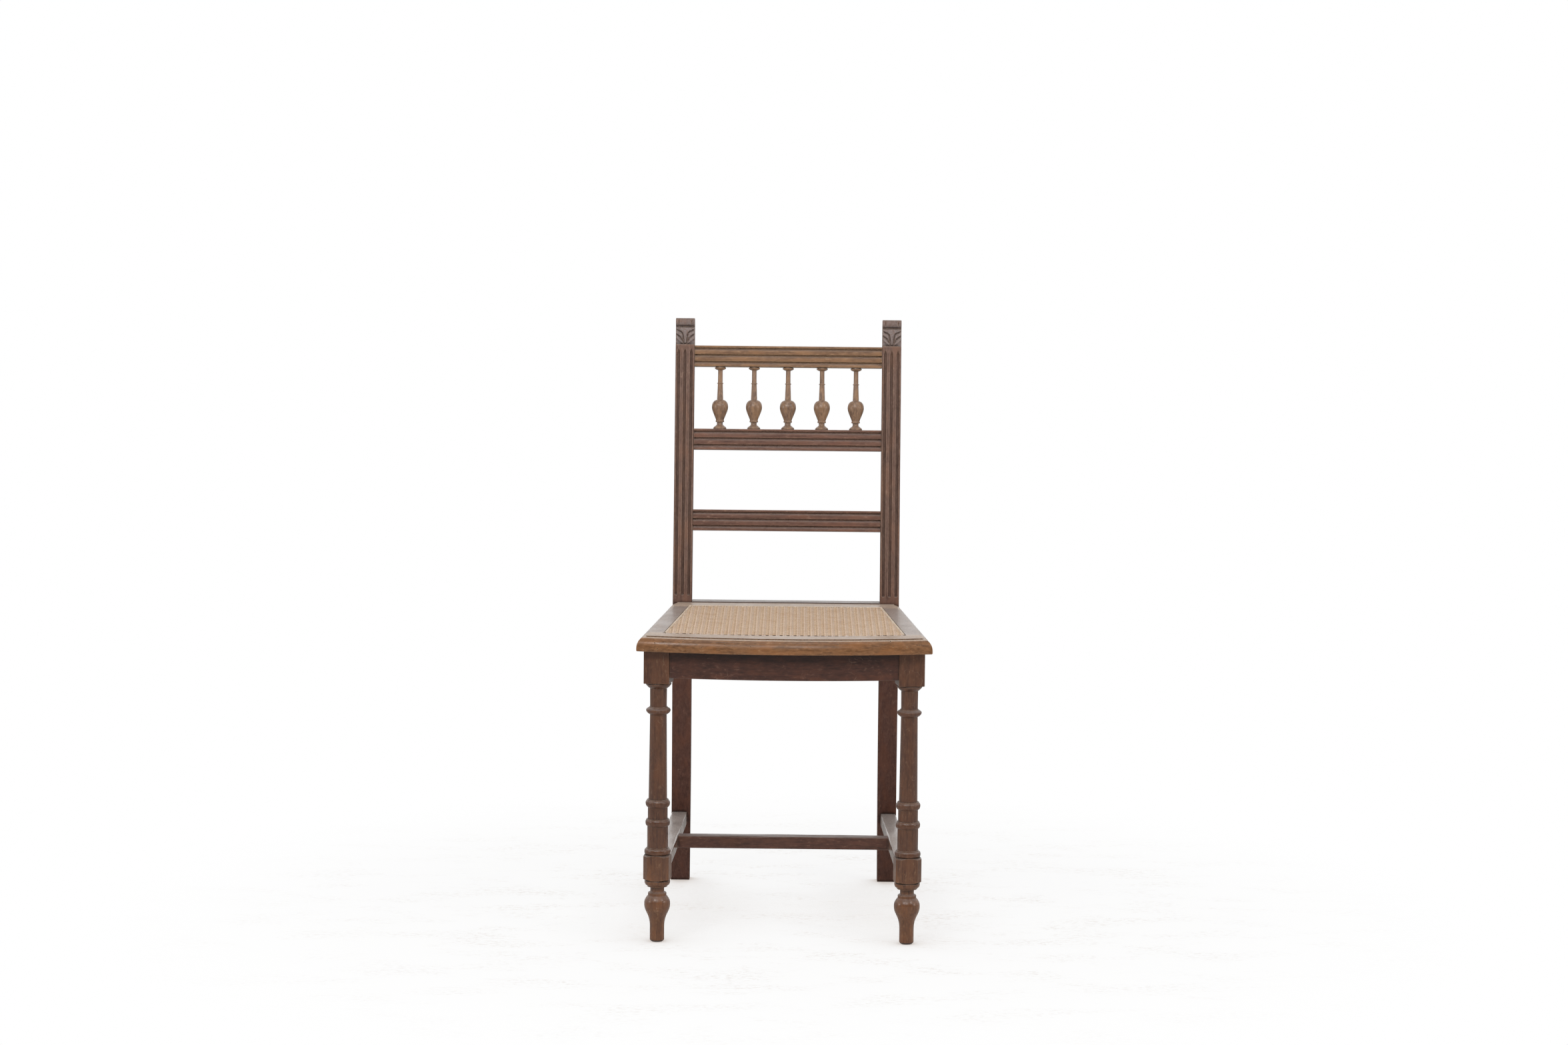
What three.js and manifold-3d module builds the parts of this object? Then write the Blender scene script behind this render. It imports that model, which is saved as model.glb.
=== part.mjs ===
// Caned side chair in the Henri II manner: turned front legs, fluted back posts that lean
// back, three moulded rails with a row of turned spindles, and a caned seat frame on a
// bowed apron. Millimetres, +Z up. The sitter faces -Y. Left and right are as seen from
// the front, so left is -X. Heights start at the floor.

import * as THREE from 'three';
import { mergeVertices } from 'three/addons/utils/BufferGeometryUtils.js';
import Module from 'manifold-3d';

const wasm = await Module();
wasm.setup();

// Overall sizes
const seatHeight = 455;
const seatThickness = 22;
const frontLegInset = 18.3;
const backPostInset = 7;
const postSetback = 356;
const backLean = THREE.MathUtils.degToRad(8.4);
const joinGap = 0.3;
const cutOverrun = 5;

// Seat frame: edges are given at the top arris, before the moulded edge
const seatFrontWidth = 402.6;
const seatRearWidth = 334;
const frontCornerForward = 20;
const frontBow = 23;
const frontMargin = 34;
const sideMargin = 21.5;
const rearMargin = 40;
const caneLedge = 9;
const caneThickness = 2;
const caneProud = 0.5;
const edgeOverhang = 12.5;
const edgeQuirk = 1.6;
const edgeFillet = 1.2;
const edgeFlat = 3.6;
const edgeChamfer = 1;
const seatTenonWidth = 26;
const seatTenonThickness = 6;
const seatTenonLength = 18;
const seatTenonHeight = 12;

// Cane holes, drilled through the ledge that the cane lies on
const caneHoleDiameter = 3.2;
const caneHolePitch = 10.1;
const caneHoleInset = 2.8;

// Plain openings through the caning, which stand for the holes of its weave
const caneOpeningPitch = 32;
const caneOpeningWidth = 15.6;

// Aprons under the seat frame
const apronHeight = 40;
const apronThickness = 18;
const frontApronBack = 22.5;
const apronTenonThickness = 8;
const apronTenonLength = 14;
const apronTenonShoulder = 7;
const backApronThickness = 25;
const backApronRise = 1.3;
const backApronTenonLength = 9;
const glueBlockLeg = 38;
const glueBlockHeight = 30;
const frontGlueBlockDepth = 19;
const frontGlueBlockWidth = 26;

// Wood screws that hold the seat frame to the glue blocks
const screwShankDiameter = 4;
const screwHeadDiameter = 8;
const screwHeadHeight = 2.8;
const screwBite = 12;
const screwInset = 7.2;
const screwPointLength = 3;
const screwSlotWidth = 1.2;
const screwSlotDepth = 1;

// Front legs: a turned shaft between a square block and a chamfered block
const legBlockWidth = 38;
const legBlockTurn = THREE.MathUtils.degToRad(8);
const legBlockHeight = 49.2;
const legDowelDiameter = 14;
const legDowelLength = 11;
const lowBlockBottom = 92;
const lowBlockTop = 129.4;
const lowBlockChamfer = 7;
const lowBlockShoulder = 2.2;
const footRadius = 10.6;
const footEase = 2.4;
const footHeight = 22;
const vaseRadius = 19;
const vaseWaistHeight = 56.6;
const vaseTop = 68.6;
const vaseFilletRadius = 13.6;
const vaseFilletTop = 72.4;
const neckRadius = 10.2;
const neckBottom = 74.7;
const neckTop = 81.7;
const collarStepRadius = 14.8;
const collarStepTop = 83.7;
const collarRadius = 18.8;
const collarEdge = 1.6;
const baseBeadRadius = 19.2;
const baseBeadTop = 138.2;
const baseStepRadius = 16.3;
const baseTop = 139.6;
const lowDrumRadius = 15.2;
const thirdRingBottom = 171.8;
const thirdRingTop = 182.1;
const highDrumRadius = 14.5;
const secondRingBottom = 199.6;
const secondRingTop = 211.2;
const shaftFootRadius = 13.5;
const shaftNeckRadius = 12.2;
const firstRingDrop = 35.4;
const firstRingHeight = 11.2;
const ringRadius = 17.95;
const ringShoulderRadius = 16.3;
const ringEdge = 0.3;
const ringFilletWidth = 1.3;
const capHeight = 8.2;
const capRadius = 18.9;
const capHollowRadius = 15.2;
const capEdgeHeight = 1.9;
const capNeckGap = 0.8;

// Heights on a ring of the leg as shares of its height
const ringShoulderShare = 0.33;
const ringWidestShare = 0.57;
const ringUpperShare = 0.75;
const ringFilletShare = 0.91;

// Back posts, each one piece with its back leg
const postWidth = 29.5;
const postDepth = 28;
const postTopDepth = 21;
const rearFootDepth = 24;
const rearFootKick = 94;
const rearFootSplay = 3;
const rearLegCurveHeight = 300;
const postFaceLength = 399.2;
const carvedLength = 29.2;
const carvedRecess = 2;
const scrollRadius = 6;
const scrollForward = 1.6;
const fluteWidth = 4.4;
const fluteDepth = 1.6;
const fluteBottom = 10.6;
const fluteTopMargin = 3.4;
const flutePoint = 9;
const flutePlaceShares = [0.17, 0.5, 0.83];
const scrollNickWidth = 1.8;
const scrollNickDepth = 2.2;
const scrollNickInset = 5;

// Rails of the back, placed along the lean of the posts from the seat top
const railHeight = 32.1;
const railThickness = 20;
const railSetback = 2;
const topRailPlace = 365.9;
const middleRailPlace = 236.9;
const lowerRailPlace = 111.7;
const railTenonThickness = 8;
const railTenonLength = 16;
const railTenonShoulder = 5;
const railGrooveDepth = 1.9;
const railEdgeRound = 1.2;
const railGrooveShares = [0.1, 0.42, 0.75];
const railCoveShare = 0.11;

// Spindles between the top and middle rails
const spindleCount = 5;
const spindlePitch = 52.6;
const spindleTenonRadius = 4;
const spindleTenonLength = 9;
const spindleFootRadius = 10.2;
const spindleWaistRadius = 4.6;
const spindleRingRadius = 6.6;
const spindleUrnFootRadius = 5.9;
const spindleUrnRadius = 12.6;
const spindleNeckRadius = 4.7;
const spindleThroatRadius = 3.7;
const spindleThreadRadius = 4.8;
const spindleCapRadius = 8.8;
const spindleRecessRadius = 7.5;

// Stretchers
const stretcherTop = 115.5;
const stretcherWidth = 24;
const stretcherHeight = 19;
const crossStretcherDepth = 21;
const crossStretcherSetback = 226;
const stretcherTenonThickness = 9;
const stretcherTenonHeight = 12;
const stretcherTenonLength = 13;
const stretcherFrontInset = 2.2;
const stretcherRearInset = 0.6;

// Facets of curved surfaces
const legSides = 14;
const spindleSides = 9;
const fluteSides = 8;
const holeSides = 4;
const seatArcSteps = 14;
const turnedSteps = 3;
const curveSteps = 5;

// Colours of the finishes
const walnutBrown = 0x6b5040;
const darkWalnut = 0x46332c;
const goldenWalnut = 0x86694b;
const caneTan = 0xc2a07a;
const steelGrey = 0x6d6a66;

// Turns any closed geometry into a solid for cutting and joining
function solidOf(geometry) {
  const bare = geometry.clone();
  for (const name of Object.keys(bare.attributes)) {
    if (name !== 'position') bare.deleteAttribute(name);
  }
  const merged = mergeVertices(bare);
  const index = merged.index.array;
  const triangles = [];
  for (let i = 0; i < index.length; i += 3) {
    const [a, b, c] = index.slice(i, i + 3);
    if (a !== b && b !== c && c !== a) triangles.push(a, b, c);
  }
  return new wasm.Manifold(new wasm.Mesh({
    numProp: 3,
    vertProperties: new Float32Array(merged.attributes.position.array),
    triVerts: new Uint32Array(triangles),
  }));
}

function geometryOf(solid) {
  const mesh = solid.getMesh();
  const geometry = new THREE.BufferGeometry();
  geometry.setAttribute('position', new THREE.BufferAttribute(mesh.vertProperties, mesh.numProp));
  geometry.setIndex(new THREE.BufferAttribute(mesh.triVerts, 1));
  const faceted = geometry.toNonIndexed();
  faceted.computeVertexNormals();
  return faceted;
}

function cut(geometry, ...tools) {
  const solids = tools.map(solidOf);
  return geometryOf(solids.reduce((left, tool) => left.subtract(tool), solidOf(geometry)));
}

function join(...geometries) {
  const solids = geometries.map(solidOf);
  return geometryOf(solids.reduce((whole, piece) => whole.add(piece)));
}

function keepInside(geometry, region) {
  return geometryOf(solidOf(geometry).intersect(solidOf(region)));
}

// A box given by its ranges along the three axes
function box([x0, x1], [y0, y1], [z0, z1]) {
  const geometry = new THREE.BoxGeometry(x1 - x0, y1 - y0, z1 - z0);
  return geometry.translate((x0 + x1) / 2, (y0 + y1) / 2, (z0 + z1) / 2);
}

// A plan outline raised from one height to another
function raised(shape, bottom, top) {
  const options = { depth: top - bottom, bevelEnabled: false, curveSegments: seatArcSteps };
  return new THREE.ExtrudeGeometry(shape, options).translate(0, 0, bottom);
}

// A side outline, drawn in Y and Z, given a width along X about the centre
function acrossX(shape, width) {
  const options = { depth: width, bevelEnabled: false, curveSegments: curveSteps };
  const sideways = new THREE.Matrix4().makeBasis(
    new THREE.Vector3(0, 1, 0),
    new THREE.Vector3(0, 0, 1),
    new THREE.Vector3(1, 0, 0),
  );
  const geometry = new THREE.ExtrudeGeometry(shape, options).applyMatrix4(sideways);
  return geometry.translate(-width / 2, 0, 0);
}

// A turning about the Z axis from a path of radius and height
function turned(path, sides) {
  const geometry = new THREE.LatheGeometry(path.getPoints(turnedSteps), sides);
  return geometry.rotateX(Math.PI / 2);
}

function rod(radius, bottom, top, sides) {
  const path = new THREE.Path();
  path.moveTo(0, bottom);
  path.lineTo(radius, bottom);
  path.lineTo(radius, top);
  path.lineTo(0, top);
  return turned(path, sides);
}

// A rounded bead on a turning, from the path's end up to the given height
function bead(path, innerRadius, outerRadius, top) {
  const bottom = path.currentPoint.y;
  const middle = (bottom + top) / 2;
  path.lineTo(innerRadius, bottom);
  path.quadraticCurveTo(outerRadius, bottom, outerRadius, middle);
  path.quadraticCurveTo(outerRadius, top, innerRadius, top);
}

// A ring on a shaft: a full slope below, its widest part above the middle, a narrow fillet
function ring(path, shaftRadius, top) {
  const bottom = path.currentPoint.y;
  const at = (share) => bottom + (top - bottom) * share;
  const filletRadius = shaftRadius + ringFilletWidth;
  path.lineTo(shaftRadius + ringEdge, bottom);
  path.quadraticCurveTo(
    ringShoulderRadius, at(ringShoulderShare),
    ringRadius, at(ringWidestShare),
  );
  path.quadraticCurveTo(ringRadius, at(ringUpperShare), filletRadius, at(ringFilletShare));
  path.lineTo(filletRadius, top);
}

// Places of things that lean with the back: Y from the post face, Z along the post
const leanMatrix = new THREE.Matrix4()
  .makeTranslation(0, postSetback, seatHeight)
  .multiply(new THREE.Matrix4().makeRotationX(-backLean));

function leaning(geometry) {
  return geometry.clone().applyMatrix4(leanMatrix);
}

function leaningPoint(forward, along) {
  const place = new THREE.Vector3(0, forward, along).applyMatrix4(leanMatrix);
  return new THREE.Vector2(place.y, place.z);
}

// Seat frame outline

const seatUnderside = seatHeight - seatThickness;
const apronTop = seatUnderside - joinGap;
const apronBottom = apronTop - apronHeight;
const seatRear = postSetback - joinGap;
const bowRadius = ((seatFrontWidth / 2) ** 2 + frontBow ** 2) / (2 * frontBow);
const bowCentre = bowRadius - frontCornerForward - frontBow;
const sideSplay = Math.atan2((seatFrontWidth - seatRearWidth) / 2, seatRear + frontCornerForward);

// Half width of the seat's side line at one depth, moved outward by an offset
function seatHalfWidth(depth, outward) {
  const straight = seatFrontWidth / 2 - (depth + frontCornerForward) * Math.tan(sideSplay);
  return straight + outward / Math.cos(sideSplay);
}

// Where a bow of one radius meets the side line
function bowEnd(radius, outward) {
  let depth = -frontCornerForward;
  for (let pass = 0; pass < curveSteps; pass += 1) {
    depth = bowCentre - Math.sqrt(radius ** 2 - seatHalfWidth(depth, outward) ** 2);
  }
  return new THREE.Vector2(seatHalfWidth(depth, outward), depth);
}

// Plan points of the seat outline, anticlockwise from the front left corner. The front is
// an arc about the same centre, so the margins of the caning run parallel to the edge.
function seatOutline(frontOutward, sideOutward, rear) {
  const radius = bowRadius + frontOutward;
  const corner = bowEnd(radius, sideOutward);
  const halfAngle = Math.asin(corner.x / radius);
  const points = [];
  for (let step = 0; step <= seatArcSteps; step += 1) {
    const angle = halfAngle * (2 * step / seatArcSteps - 1);
    points.push(new THREE.Vector2(radius * Math.sin(angle), bowCentre - radius * Math.cos(angle)));
  }
  points.push(new THREE.Vector2(seatHalfWidth(rear, sideOutward), rear));
  points.push(new THREE.Vector2(-seatHalfWidth(rear, sideOutward), rear));
  return points;
}

// A solid through equal rings of points, bottom ring first
function loft(rings) {
  const count = rings[0].length;
  const positions = rings.flat().flatMap((point) => [point.x, point.y, point.z]);
  const triangles = [];
  for (let ring = 0; ring + 1 < rings.length; ring += 1) {
    for (let i = 0; i < count; i += 1) {
      const a = ring * count + i;
      const b = ring * count + (i + 1) % count;
      triangles.push(a, b, b + count, a, b + count, a + count);
    }
  }
  const top = (rings.length - 1) * count;
  for (const [a, b, c] of THREE.ShapeUtils.triangulateShape(rings[0], [])) {
    triangles.push(a, c, b);
  }
  for (const [a, b, c] of THREE.ShapeUtils.triangulateShape(rings[rings.length - 1], [])) {
    triangles.push(top + a, top + b, top + c);
  }
  const geometry = new THREE.BufferGeometry();
  geometry.setAttribute('position', new THREE.Float32BufferAttribute(positions, 3));
  geometry.setIndex(triangles);
  return geometry;
}

// The moulded edge from below: an eased arris, a short flat, an ovolo, a fillet and a quirk
function seatEdgeSteps() {
  const ovoloTop = seatHeight - edgeQuirk;
  const ovoloBottom = seatUnderside + edgeChamfer + edgeFlat;
  const steps = [
    [edgeOverhang - edgeChamfer, seatUnderside],
    [edgeOverhang, seatUnderside + edgeChamfer],
  ];
  for (let step = 0; step <= curveSteps; step += 1) {
    const angle = (Math.PI / 2) * step / curveSteps;
    steps.push([
      edgeFillet + (edgeOverhang - edgeFillet) * Math.cos(angle),
      ovoloBottom + (ovoloTop - ovoloBottom) * Math.sin(angle),
    ]);
  }
  steps.push([0, ovoloTop], [0, seatHeight]);
  return steps;
}

const caneRear = seatRear - rearMargin;
const openingRear = caneRear - caneLedge;
const frameJointFront = bowEnd(bowRadius - frontMargin - caneLedge, -sideMargin - caneLedge).y;

// The whole seat frame before it is divided into its four rails
function seatFrameBlank() {
  const blank = loft(seatEdgeSteps().map(([outward, height]) => (
    seatOutline(outward, outward, seatRear)
      .map((point) => new THREE.Vector3(point.x, point.y, height))
  )));
  const opening = new THREE.Shape(
    seatOutline(-frontMargin - caneLedge, -sideMargin - caneLedge, openingRear),
  );
  const rebate = new THREE.Shape(seatOutline(-frontMargin, -sideMargin, caneRear));
  const rebateFloor = seatHeight + caneProud - caneThickness;
  return cut(
    blank,
    raised(opening, seatUnderside - cutOverrun, seatHeight + cutOverrun),
    raised(rebate, rebateFloor, seatHeight + cutOverrun),
    ...caneHoles(),
  );
}

// Holes at an even pitch round the ledge, close to the wall of the rebate
function caneHoles() {
  const outline = seatOutline(-frontMargin - caneHoleInset, -sideMargin - caneHoleInset,
    caneRear - caneHoleInset);
  const [frontLeft, frontRight] = [outline[0], outline[seatArcSteps]];
  const [rearRight, rearLeft] = outline.slice(seatArcSteps + 1);
  const radius = bowRadius - frontMargin - caneHoleInset;
  const halfAngle = Math.asin(frontRight.x / radius);
  const holes = [];
  const frontCount = Math.round(2 * halfAngle * radius / caneHolePitch);
  for (let i = 0; i <= frontCount; i += 1) {
    const angle = halfAngle * (2 * i / frontCount - 1);
    holes.push([radius * Math.sin(angle), bowCentre - radius * Math.cos(angle)]);
  }
  const lines = [[frontRight, rearRight], [rearRight, rearLeft], [rearLeft, frontLeft]];
  for (const [start, end] of lines) {
    const count = Math.round(start.distanceTo(end) / caneHolePitch);
    const last = end === frontLeft ? count - 1 : count;
    for (let i = 1; i <= last; i += 1) {
      const place = start.clone().lerp(end, i / count);
      holes.push([place.x, place.y]);
    }
  }
  return holes.map(([x, y]) => (
    rod(caneHoleDiameter / 2, seatUnderside - cutOverrun, seatHeight + cutOverrun, holeSides)
      .translate(x, y, 0)
  ));
}

// Tenons of the side rails into the front and back rails, above the leg dowels
function seatTenon(side, joint, direction, clearance) {
  const middle = side * (seatHalfWidth(joint, 0) - seatTenonWidth / 2);
  const reach = [joint - direction * joinGap, joint + direction * seatTenonLength];
  const bottom = seatUnderside + seatTenonHeight;
  const ends = direction > 0 ? [reach[0], reach[1] + clearance] : [reach[1] - clearance, reach[0]];
  return box(
    [middle - seatTenonWidth / 2 - clearance, middle + seatTenonWidth / 2 + clearance],
    [ends[0] - joinGap, ends[1] + joinGap],
    [bottom - clearance, bottom + seatTenonThickness + clearance],
  );
}

const farSide = seatFrontWidth;

function seatFrontRail(blank) {
  const region = box([-farSide, farSide], [-farSide, frameJointFront], [0, 2 * seatHeight]);
  const mortises = [-1, 1].map((side) => seatTenon(side, frameJointFront, -1, joinGap));
  const dowelHoles = [-1, 1].map((side) => legDowel(joinGap).translate(side * legX, 0, 0));
  const screwHoles = [-1, 1].map((side) => seatScrew(side, -1, joinGap));
  return cut(keepInside(blank, region), ...mortises, ...dowelHoles, ...screwHoles);
}

function seatBackRail(blank) {
  const region = box([-farSide, farSide], [openingRear, postSetback], [0, 2 * seatHeight]);
  const mortises = [-1, 1].map((side) => seatTenon(side, openingRear, 1, joinGap));
  const screwHoles = [-1, 1].map((side) => seatScrew(side, 1, joinGap));
  return cut(keepInside(blank, region), ...mortises, ...screwHoles);
}

function seatSideRail(blank, side) {
  const reach = side > 0 ? [0, farSide] : [-farSide, 0];
  const region = box(
    reach,
    [frameJointFront + joinGap, openingRear - joinGap],
    [0, 2 * seatHeight],
  );
  return join(
    keepInside(blank, region),
    seatTenon(side, frameJointFront + joinGap, -1, 0),
    seatTenon(side, openingRear - joinGap, 1, 0),
  );
}

// The caning, a thin plate in the frame's rebate with a plain grid of openings
function canePanel() {
  const outline = seatOutline(-frontMargin - joinGap, -sideMargin - joinGap, caneRear - joinGap);
  const top = seatHeight + caneProud;
  const plate = raised(new THREE.Shape(outline), top - caneThickness + joinGap, top);
  return cut(plate, ...caneOpenings());
}

// Square openings in even rows from the back, each wholly inside the frame's own opening
function caneOpenings() {
  const half = caneOpeningWidth / 2;
  const reach = Math.ceil(seatFrontWidth / 2 / caneOpeningPitch);
  const rows = Math.ceil(seatRear / caneOpeningPitch);
  const bow = bowRadius - frontMargin - caneLedge;
  const openings = [];
  for (let row = 0; row < rows; row += 1) {
    const y = openingRear - caneOpeningPitch * (row + 1 / 2);
    for (let column = -reach; column <= reach; column += 1) {
      const x = caneOpeningPitch * (column + 1 / 2);
      const farX = Math.abs(x) + half;
      const clearOfSide = farX < seatHalfWidth(y + half, -sideMargin - caneLedge);
      const clearOfFront = Math.hypot(farX, bowCentre - y + half) < bow;
      if (clearOfSide && clearOfFront) {
        openings.push(box([x - half, x + half], [y - half, y + half], [seatUnderside, 2 * seatHeight]));
      }
    }
  }
  return openings;
}

// Front legs

const legX = seatFrontWidth / 2 - frontLegInset;
const legBlockBottom = apronTop - legBlockHeight;
const capBottom = legBlockBottom - capHeight;
const capEdgeBottom = legBlockBottom - capEdgeHeight;
const firstRingTop = legBlockBottom - firstRingDrop;
const firstRingBottom = firstRingTop - firstRingHeight;

function legDowel(clearance) {
  return rod(
    legDowelDiameter / 2 + clearance,
    seatUnderside - joinGap - cutOverrun,
    seatUnderside + legDowelLength + clearance,
    legSides,
  );
}

// Radius and height of the turned parts, from the floor to the upper block
function legPath() {
  const path = new THREE.Path();
  path.moveTo(0, 0);
  path.lineTo(footRadius - footEase, 0);
  path.lineTo(footRadius, footEase);
  path.lineTo(footRadius, footHeight);
  path.bezierCurveTo(
    footRadius, (footHeight + vaseWaistHeight) / 2,
    vaseRadius, (footHeight + vaseWaistHeight) / 2,
    vaseRadius, vaseWaistHeight,
  );
  path.quadraticCurveTo(vaseRadius, (vaseWaistHeight + vaseTop) / 2, vaseFilletRadius, vaseTop);
  path.lineTo(vaseFilletRadius, vaseFilletTop);
  path.lineTo(neckRadius, neckBottom);
  path.lineTo(neckRadius, neckTop);
  path.lineTo(collarStepRadius, neckTop);
  path.lineTo(collarStepRadius, collarStepTop);
  path.quadraticCurveTo(collarRadius, collarStepTop, collarRadius, lowBlockBottom - collarEdge);
  path.lineTo(collarRadius - collarEdge, lowBlockBottom);
  path.lineTo(lowDrumRadius, lowBlockBottom + lowBlockShoulder);
  path.lineTo(lowDrumRadius, lowBlockTop - lowBlockShoulder);
  path.lineTo(baseStepRadius, lowBlockTop);
  bead(path, baseStepRadius, baseBeadRadius, baseBeadTop);
  path.lineTo(baseStepRadius, baseTop);
  path.lineTo(lowDrumRadius, thirdRingBottom);
  ring(path, lowDrumRadius, thirdRingTop);
  path.lineTo(highDrumRadius, thirdRingTop);
  path.lineTo(highDrumRadius, secondRingBottom);
  ring(path, highDrumRadius, secondRingTop);
  path.lineTo(shaftFootRadius, secondRingTop);
  path.lineTo(shaftNeckRadius, firstRingBottom);
  ring(path, shaftNeckRadius, firstRingTop);
  path.lineTo(shaftNeckRadius, firstRingTop);
  path.lineTo(shaftNeckRadius, capBottom);
  path.quadraticCurveTo(capHollowRadius, capBottom, capRadius, capEdgeBottom);
  path.lineTo(capRadius, legBlockBottom - capNeckGap);
  path.lineTo(shaftNeckRadius, legBlockBottom - capNeckGap);
  path.lineTo(shaftNeckRadius, legBlockBottom + capNeckGap);
  path.lineTo(0, legBlockBottom + capNeckGap);
  return path;
}

function chamferedSquare(width, chamfer) {
  const half = width / 2;
  const inner = half - chamfer;
  return new THREE.Shape([
    [inner, -half], [half, -inner], [half, inner], [inner, half],
    [-inner, half], [-half, inner], [-half, -inner], [-inner, -half],
  ].map(([x, y]) => new THREE.Vector2(x, y)));
}

// The chamfered block has its ends rounded off on the lathe
function lowBlock() {
  const prism = raised(chamferedSquare(legBlockWidth, lowBlockChamfer), lowBlockBottom, lowBlockTop);
  const outer = legBlockWidth / Math.SQRT2;
  const rounding = new THREE.Path();
  rounding.moveTo(0, lowBlockBottom);
  rounding.lineTo(collarRadius, lowBlockBottom);
  rounding.lineTo(outer, lowBlockBottom + lowBlockShoulder * 2);
  rounding.lineTo(outer, lowBlockTop - lowBlockShoulder * 2);
  rounding.lineTo(baseBeadRadius, lowBlockTop);
  rounding.lineTo(0, lowBlockTop);
  return keepInside(prism, turned(rounding, legSides));
}

function legUpperBlock(clearance) {
  const half = legBlockWidth / 2 + clearance;
  return box([-half, half], [-half, half], [legBlockBottom - clearance, apronTop + clearance]);
}

function frontLeg(side) {
  const blank = join(turned(legPath(), legSides), lowBlock(), legUpperBlock(0), legDowel(0));
  const placed = blank.rotateZ(side * legBlockTurn).translate(side * legX, 0, 0);
  return cut(
    placed,
    frontApronTenon(side, joinGap),
    sideApronTenon(side, -1, joinGap),
    sideStretcherTenon(side, -1, joinGap),
  );
}

function placedLegBlock(side, clearance) {
  return legUpperBlock(clearance).rotateZ(side * legBlockTurn).translate(side * legX, 0, 0);
}

// Back posts

const postX = seatRearWidth / 2 - backPostInset;
const scrollAlong = postFaceLength + carvedLength + scrollRadius;
const scrollBackward = scrollRadius - scrollForward;

// Side outline of the post, up the front from the foot and down the back
function postOutline() {
  const shape = new THREE.Shape();
  const knee = apronBottom;
  shape.moveTo(postSetback + rearFootKick, 0);
  shape.quadraticCurveTo(postSetback, rearLegCurveHeight, postSetback, knee);
  shape.lineTo(postSetback, seatHeight);
  const front = [[0, postFaceLength], [carvedRecess, postFaceLength],
    [carvedRecess, scrollAlong - scrollRadius]];
  for (const [forward, along] of front) {
    const place = leaningPoint(forward, along);
    shape.lineTo(place.x, place.y);
  }
  const scrollSteps = 2 * curveSteps;
  for (let step = 0; step <= scrollSteps; step += 1) {
    const angle = Math.PI * (1.4 - 1.15 * step / scrollSteps);
    const place = leaningPoint(
      scrollBackward + scrollRadius * Math.cos(angle),
      scrollAlong + scrollRadius * Math.sin(angle),
    );
    shape.lineTo(place.x, place.y);
  }
  const shoulder = leaningPoint(postTopDepth, postFaceLength);
  const bend = leaningPoint(postTopDepth, scrollAlong);
  const seatBack = leaningPoint(postDepth, 0);
  shape.quadraticCurveTo(bend.x, bend.y, shoulder.x, shoulder.y);
  shape.lineTo(seatBack.x, seatBack.y);
  shape.lineTo(postSetback + postDepth, knee);
  shape.quadraticCurveTo(
    postSetback + postDepth, rearLegCurveHeight,
    postSetback + rearFootKick + rearFootDepth, 0,
  );
  return shape;
}

// The back legs spread a little towards the floor
function splayFoot(geometry, side) {
  const place = geometry.getAttribute('position');
  for (let i = 0; i < place.count; i += 1) {
    const share = Math.max(0, 1 - place.getZ(i) / apronBottom);
    place.setX(i, place.getX(i) + side * rearFootSplay * share ** 2);
  }
  return geometry;
}

// One stopped flute: pointed at the top, rounded at the foot
function fluteCutter() {
  const radius = (fluteWidth ** 2 / 4 + fluteDepth ** 2) / (2 * fluteDepth);
  const top = postFaceLength - fluteTopMargin;
  const path = new THREE.Path();
  path.moveTo(0, fluteBottom);
  path.quadraticCurveTo(radius, fluteBottom, radius, fluteBottom + fluteWidth);
  path.lineTo(radius, top - flutePoint);
  path.lineTo(0, top + flutePoint * (radius - fluteDepth) / fluteDepth);
  return turned(path, fluteSides).rotateZ(Math.PI / fluteSides).translate(0, fluteDepth - radius, 0);
}

// A nick across the front of the scroll near one end
function scrollNick(side) {
  const size = Math.SQRT1_2 * scrollNickWidth;
  const nick = box([-size, size], [-size, size], [-scrollRadius, scrollRadius]);
  return nick
    .rotateZ(Math.PI / 4)
    .translate(side * (postWidth / 2 - scrollNickInset), -scrollForward - scrollNickDepth / 2,
      scrollAlong - scrollRadius);
}

function backPost(side) {
  const cutters = flutePlaceShares.map((share) => (
    leaning(fluteCutter().translate(postWidth * (share - 1 / 2), 0, 0))
  ));
  const nicks = [-1, 1].map((end) => leaning(scrollNick(end)));
  const placed = cut(acrossX(postOutline(), postWidth), ...cutters, ...nicks);
  splayFoot(placed.translate(side * postX, 0, 0), side);
  const railMortises = [topRailPlace, middleRailPlace, lowerRailPlace]
    .map((place) => leaning(railTenon(side, place, joinGap)));
  return cut(
    placed,
    ...railMortises,
    backApronTenon(side, joinGap),
    sideApronTenon(side, 1, joinGap),
    sideStretcherTenon(side, 1, joinGap),
  );
}

// Rails of the back

const railHalfLength = postX - postWidth / 2 - joinGap;

// Section with three grooves, each square at its upper edge and hollow below
function railSection() {
  const face = railSetback;
  const back = railSetback + railThickness;
  const shape = new THREE.Shape();
  shape.moveTo(face + railEdgeRound, railHeight);
  shape.lineTo(face, railHeight - railEdgeRound);
  for (const share of railGrooveShares) {
    const top = railHeight * (1 - share);
    const bottom = top - railHeight * railCoveShare;
    shape.lineTo(face, top);
    shape.lineTo(face + railGrooveDepth, top);
    shape.quadraticCurveTo(face + railGrooveDepth / 3, top, face, bottom);
  }
  shape.lineTo(face, railEdgeRound);
  shape.lineTo(face + railEdgeRound, 0);
  shape.lineTo(back - railEdgeRound, 0);
  shape.lineTo(back, railEdgeRound);
  shape.lineTo(back, railHeight - railEdgeRound);
  shape.lineTo(back - railEdgeRound, railHeight);
  return shape;
}

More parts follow.
